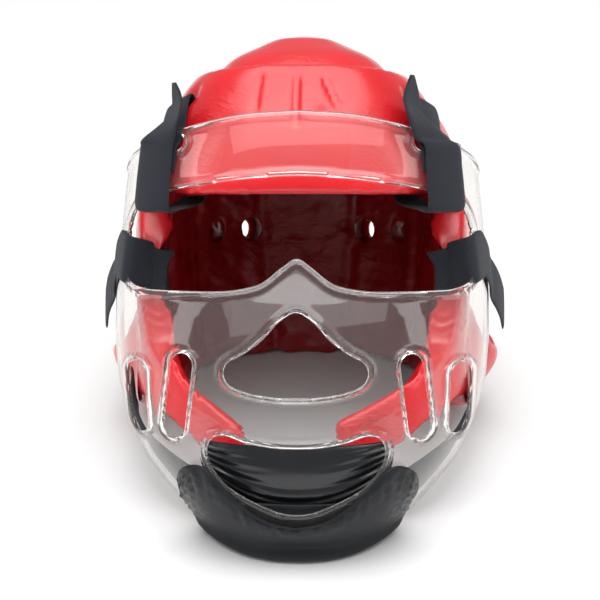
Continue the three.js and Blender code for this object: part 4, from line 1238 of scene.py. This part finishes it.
def chin_strap():
    """Stations from one ear, below the jaw flap, under the chin pad and up to the other ear."""
    lie = CHIN_STRAP["thick"] / 2 + TOUCH
    turn = np.linspace(-CHIN_STRAP["anchor"], CHIN_STRAP["anchor"], 41)[:, None]
    w = np.linspace(-0.5, 0.5, 5)[None, :]
    height, inset, foam, flat = (column(CHIN_ROUTE, "azimuth", name, np.abs(turn))
                                 for name in ("height", "inset", "foam", "flat"))
    azimuth = np.radians(turn)
    flat = flat * np.pi / 2
    rise = np.cos(flat) * (1 - np.sin(flat) * math.sin(LEAN)) + np.sin(flat) * math.sin(LEAN)
    z = height * SHIELD["bottom"] + w * CHIN_STRAP["width"] * rise
    in_shield = shield_radius(z, azimuth) - SHIELD["wall"] - lie - TOUCH
    on_foam = pad_outer(z, azimuth) + EAR["bulge"] * ear_swell(azimuth, z) + lie + 4 * TOUCH
    radius = np.minimum((in_shield - inset) * (1 - foam) + on_foam * foam, in_shield)
    inward = w * CHIN_STRAP["width"] * np.sin(flat) * math.cos(LEAN)
    return polar(radius - inward, azimuth, z)


piece, cut_size = band("chin_webbing", chin_strap(), CHIN_STRAP, 120)
STRAP_PIECES.append((piece, "chin_strap", cut_size, ["headgear_shell", "chin_cup"]))

for piece, replaced, cut_size, held in STRAP_PIECES:
    stand_for(piece, replaced)

# %% [markdown]
# The chin cup is a pocket of thin leather pulled over the shield's lower edge, stuffed a little, with the
# gathered leather crinkling at both ends. Inside it sits a rest of glossy vinyl with soft folds. Both are
# closed skins between an inner and an outer layer of the same formula.

# %% The chin cup
CHIN = {"cover": 3, "swell": 3, "pad": 8, "half_angle": 33, "pad_angle": 24, "inside": 26, "clear": 0.9}
CUP_LIP = table(
    "turn height",
    [0, -0.89], [0.22, -0.86], [0.42, -0.78], [0.54, -0.695], [0.64, -0.635], [0.78, -0.63], [0.92, -0.69],
    [1, -0.78],
)


def slab(name, sheet_a, sheet_b, material):
    """Closed skin between two grids of the same size."""
    return closed_skin(name, np.concatenate([sheet_a, sheet_b[:, ::-1]], axis=1), material)


def cup_layer(layer, steps=96, fine=5):
    """One skin of the cup: down the outside from the lip, round under the shield's edge, up the inside."""
    turn = np.linspace(-1, 1, steps)[:, None]
    azimuth = turn * math.radians(CHIN["half_angle"])
    fade = np.sqrt(np.maximum(0, 1 - turn**4))
    lip = SHIELD["bottom"] * column(CUP_LIP, "turn", "height", np.abs(turn))
    clear_gap = CHIN["clear"]
    edge = shield_edge(azimuth) - clear_gap
    skin = layer * (CHIN["cover"] + CHIN["swell"] * fade)
    down = np.linspace(0, 1, 7)[None, :]
    z = lip + (edge + 2 - lip) * down
    swell = CHIN["swell"] * fade * np.sin(np.pi * np.minimum(1, 0.2 + down))
    outside = polar(shield_radius(z, azimuth) + clear_gap + layer * (CHIN["cover"] * 0.6 + swell), azimuth, z)
    at_edge = shield_radius(edge, azimuth)
    foot = [
        polar(at_edge + clear_gap + 0.4 * skin, azimuth, edge - 0.75 * skin),
        polar(at_edge - SHIELD["wall"] / 2 - 0.1 * skin, azimuth, edge - 0.3 - skin),
        polar(at_edge - SHIELD["wall"] - clear_gap - skin, azimuth, edge - 0.6 * skin),
    ]
    up = np.linspace(0.25, 1, 4)[None, :]
    z = edge + CHIN["inside"] * fade * up + 2
    inside = polar(shield_radius(z, azimuth) - SHIELD["wall"] - clear_gap - layer * CHIN["cover"], azimuth, z)
    path = np.concatenate([outside, *foot, inside], axis=1)
    return np.swapaxes(spline(np.swapaxes(path, 0, 1), (path.shape[1] - 1) * fine + 1), 0, 1)


def cup_wrinkles(points, turn, down):
    """Gathers that run across the cup near its ends and just below its lip."""
    ends = smoothstep(0.55, 0.9, np.abs(turn)) * (1 - smoothstep(0.3, 0.55, down))
    lip = (1 - smoothstep(0.08, 0.26, down)) * smoothstep(0.02, 0.06, down)
    x, z = points[..., 0], points[..., 2]
    folds = np.sin(z * 1.1 + x * np.sign(turn) * 0.9) + 0.6 * np.sin(z * 2.3)
    crumple = ripples(points.reshape(-1, 3), 8, 12).reshape(folds.shape)
    rows = np.sin(turn * 95 + 2 * np.sin(turn * 23))
    return ends * (0.35 * folds + 0.3 * crumple) + lip * (0.5 * rows + 0.3 * crumple), np.maximum(ends, lip)


outer_cup, inner_cup = cup_layer(1), cup_layer(0)
turn = np.linspace(-1, 1, outer_cup.shape[0])[:, None]
down = np.linspace(0, 1, outer_cup.shape[1])[None, :]
outwards = np.cross(np.gradient(outer_cup, axis=0), np.gradient(outer_cup, axis=1))
outwards /= np.maximum(np.linalg.norm(outwards, axis=2, keepdims=True), 1e-9)
middle_row, front_column = outer_cup.shape[0] // 2, 8
outwards *= np.sign(-outwards[middle_row, front_column, 1])
raised, gathered = cup_wrinkles(outer_cup, turn, down)
outer_cup = outer_cup + outwards * raised[..., None]
cup = slab("chin_pocket", inner_cup, outer_cup, leather)
point_attribute(cup, "gather", np.concatenate([0 * gathered, gathered[:, ::-1]], axis=1))
set_points(cup, above_floor(get_points(cup)))
stand_for(cup, "chin_cup")


# %% [markdown]
# The rest is a stuffed vinyl pad that the pocket squeezes into one broad roll and three narrow folds. Its
# thickness is a table over the way down, thinned towards both ends, where the folds are pinched together.

# %% The folded rest inside the cup
PAD_FOLDS = table(
    "down swell",
    [0, 0.4], [0.1, 0.8], [0.27, 1], [0.45, 0.8], [0.54, 0.45], [0.6, 0.68], [0.66, 0.7],
    [0.71, 0.36], [0.76, 0.58], [0.82, 0.3], [0.88, 0.5], [0.95, 0.45], [1, 0.25],
)


def pad_layer(layer, steps=110, rows=120):
    """One skin of the rest: one broad roll over three narrow folds, all pinched together at both ends."""
    turn = np.linspace(-1, 1, steps)[:, None]
    azimuth = turn * math.radians(CHIN["pad_angle"])
    top = SHIELD["bottom"] * (-0.545 + 0.015 * turn**2)
    foot = SHIELD["bottom"] * (-0.885 + 0.2 * turn**2)
    down = np.linspace(0, 1, rows)[None, :]
    z = top + (foot - top) * down
    behind = SHIELD["wall"] + CHIN["clear"] + CHIN["cover"] + 2 * TOUCH + 4.5 * (1 - down)
    swell = column(PAD_FOLDS, "down", "swell", down)
    notch = 0.45 * np.exp(-((turn / 0.42) ** 2)) * (1 - smoothstep(0.1, 0.34, down))
    thick = CHIN["pad"] * (swell - notch) * np.sqrt(1 - 0.6 * turn**4)
    round_ends = np.sqrt(np.clip(np.minimum(down, 1 - down) * 12, 0.05, 1))
    dimple = 2.2 * (1 - swell) + 0.5 * turn**2 * np.sin(44 * down + 3 * turn)
    radius = shield_radius(z, azimuth) - behind - (1 - layer) * dimple - layer * thick * round_ends
    return polar(radius, azimuth, z)


rest_pad = slab("chin_rest", pad_layer(0), pad_layer(1), vinyl)
stand_for(rest_pad, "chin_pad")

# %% [markdown]
# A pale floor, a bright surround and a few soft boxes, as for a catalogue picture. A sun with a very wide
# disc stands for a glowing ceiling, so its shadows are soft. The broad overhead box gives the forehead its
# sheen, and the tall boxes at both sides draw the long reflections down the clear sheet.

# %% Floor and lights
floor_mesh = mesh_object("studio_floor", np.array([[-4, -4, 0], [4, -4, 0], [4, 4, 0], [-4, 4, 0]], float),
                         np.array([[0, 1, 2, 3]]))
floor_paint, tree, shader = principled("pale_floor", Base_Color=(0.92, 0.92, 0.92, 1), Roughness=0.6)
floor_mesh.data.materials.append(floor_paint)

world = bpy.data.worlds.new("studio")
bpy.context.scene.world = world
world.use_nodes = True
world.node_tree.nodes["Background"].inputs["Color"].default_value = (1, 1, 1, 1)
world.node_tree.nodes["Background"].inputs["Strength"].default_value = 0.3


def soft_box(name, place, aim, width, height, power):
    """A rectangular area light that faces a point."""
    data = bpy.data.lights.new(name, "AREA")
    data.shape = "RECTANGLE"
    data.size, data.size_y = width, height
    data.energy = power
    lamp = bpy.data.objects.new(name, data)
    bpy.context.scene.collection.objects.link(lamp)
    lamp.location = place
    lamp.rotation_euler = (Vector(aim) - Vector(place)).to_track_quat("-Z", "Y").to_euler()
    return lamp


ceiling = bpy.data.lights.new("ceiling_glow", "SUN")
ceiling.energy = 2.3
ceiling.angle = math.radians(64)
ceiling_lamp = bpy.data.objects.new("ceiling_glow", ceiling)
bpy.context.scene.collection.objects.link(ceiling_lamp)
ceiling_lamp.rotation_euler = (math.radians(-8), 0, 0)
soft_box("overhead_box", (0.05, -0.4, 1.1), (0, 0, 0.15), 1.3, 0.8, 3.6)
soft_box("left_box", (-0.9, -0.35, 0.6), (0, 0, 0.12), 0.25, 0.9, 1.6)
soft_box("right_box", (0.9, -0.35, 0.6), (0, 0, 0.12), 0.25, 0.9, 1.6)

# %% [markdown]
# The camera stands where the photographer stood: worked out once in the worn frame, in millimetres, and
# leaned back with everything else, so it keeps its angle to the face. The focal length is in pixels of a
# 600 pixel frame.

# %% Camera
PHOTO = 600
FOCAL_PIXELS = 1520
EYE = np.array([30.7, -947.1, 66.3])
TARGET = np.array([-2.4, 0.0, 0.0])
camera_data = bpy.data.cameras.new("photo_camera")
camera_data.sensor_width = 36
camera_data.lens = 36 * FOCAL_PIXELS / PHOTO
camera = bpy.data.objects.new("photo_camera", camera_data)
bpy.context.scene.collection.objects.link(camera)
eye, target, above = rest(np.array([EYE, TARGET, TARGET + [0, 0, 100]]))
back = Vector(eye - target).normalized()
side_way = Vector(above - target).cross(back).normalized()
upright = back.cross(side_way)
turned = Matrix((side_way, upright, back)).transposed().to_4x4()
camera.matrix_world = Matrix.Translation(Vector(eye)) @ turned
bpy.context.scene.camera = camera
bpy.context.scene.view_settings.view_transform = "Standard"
print("camera at", [round(v, 3) for v in eye])
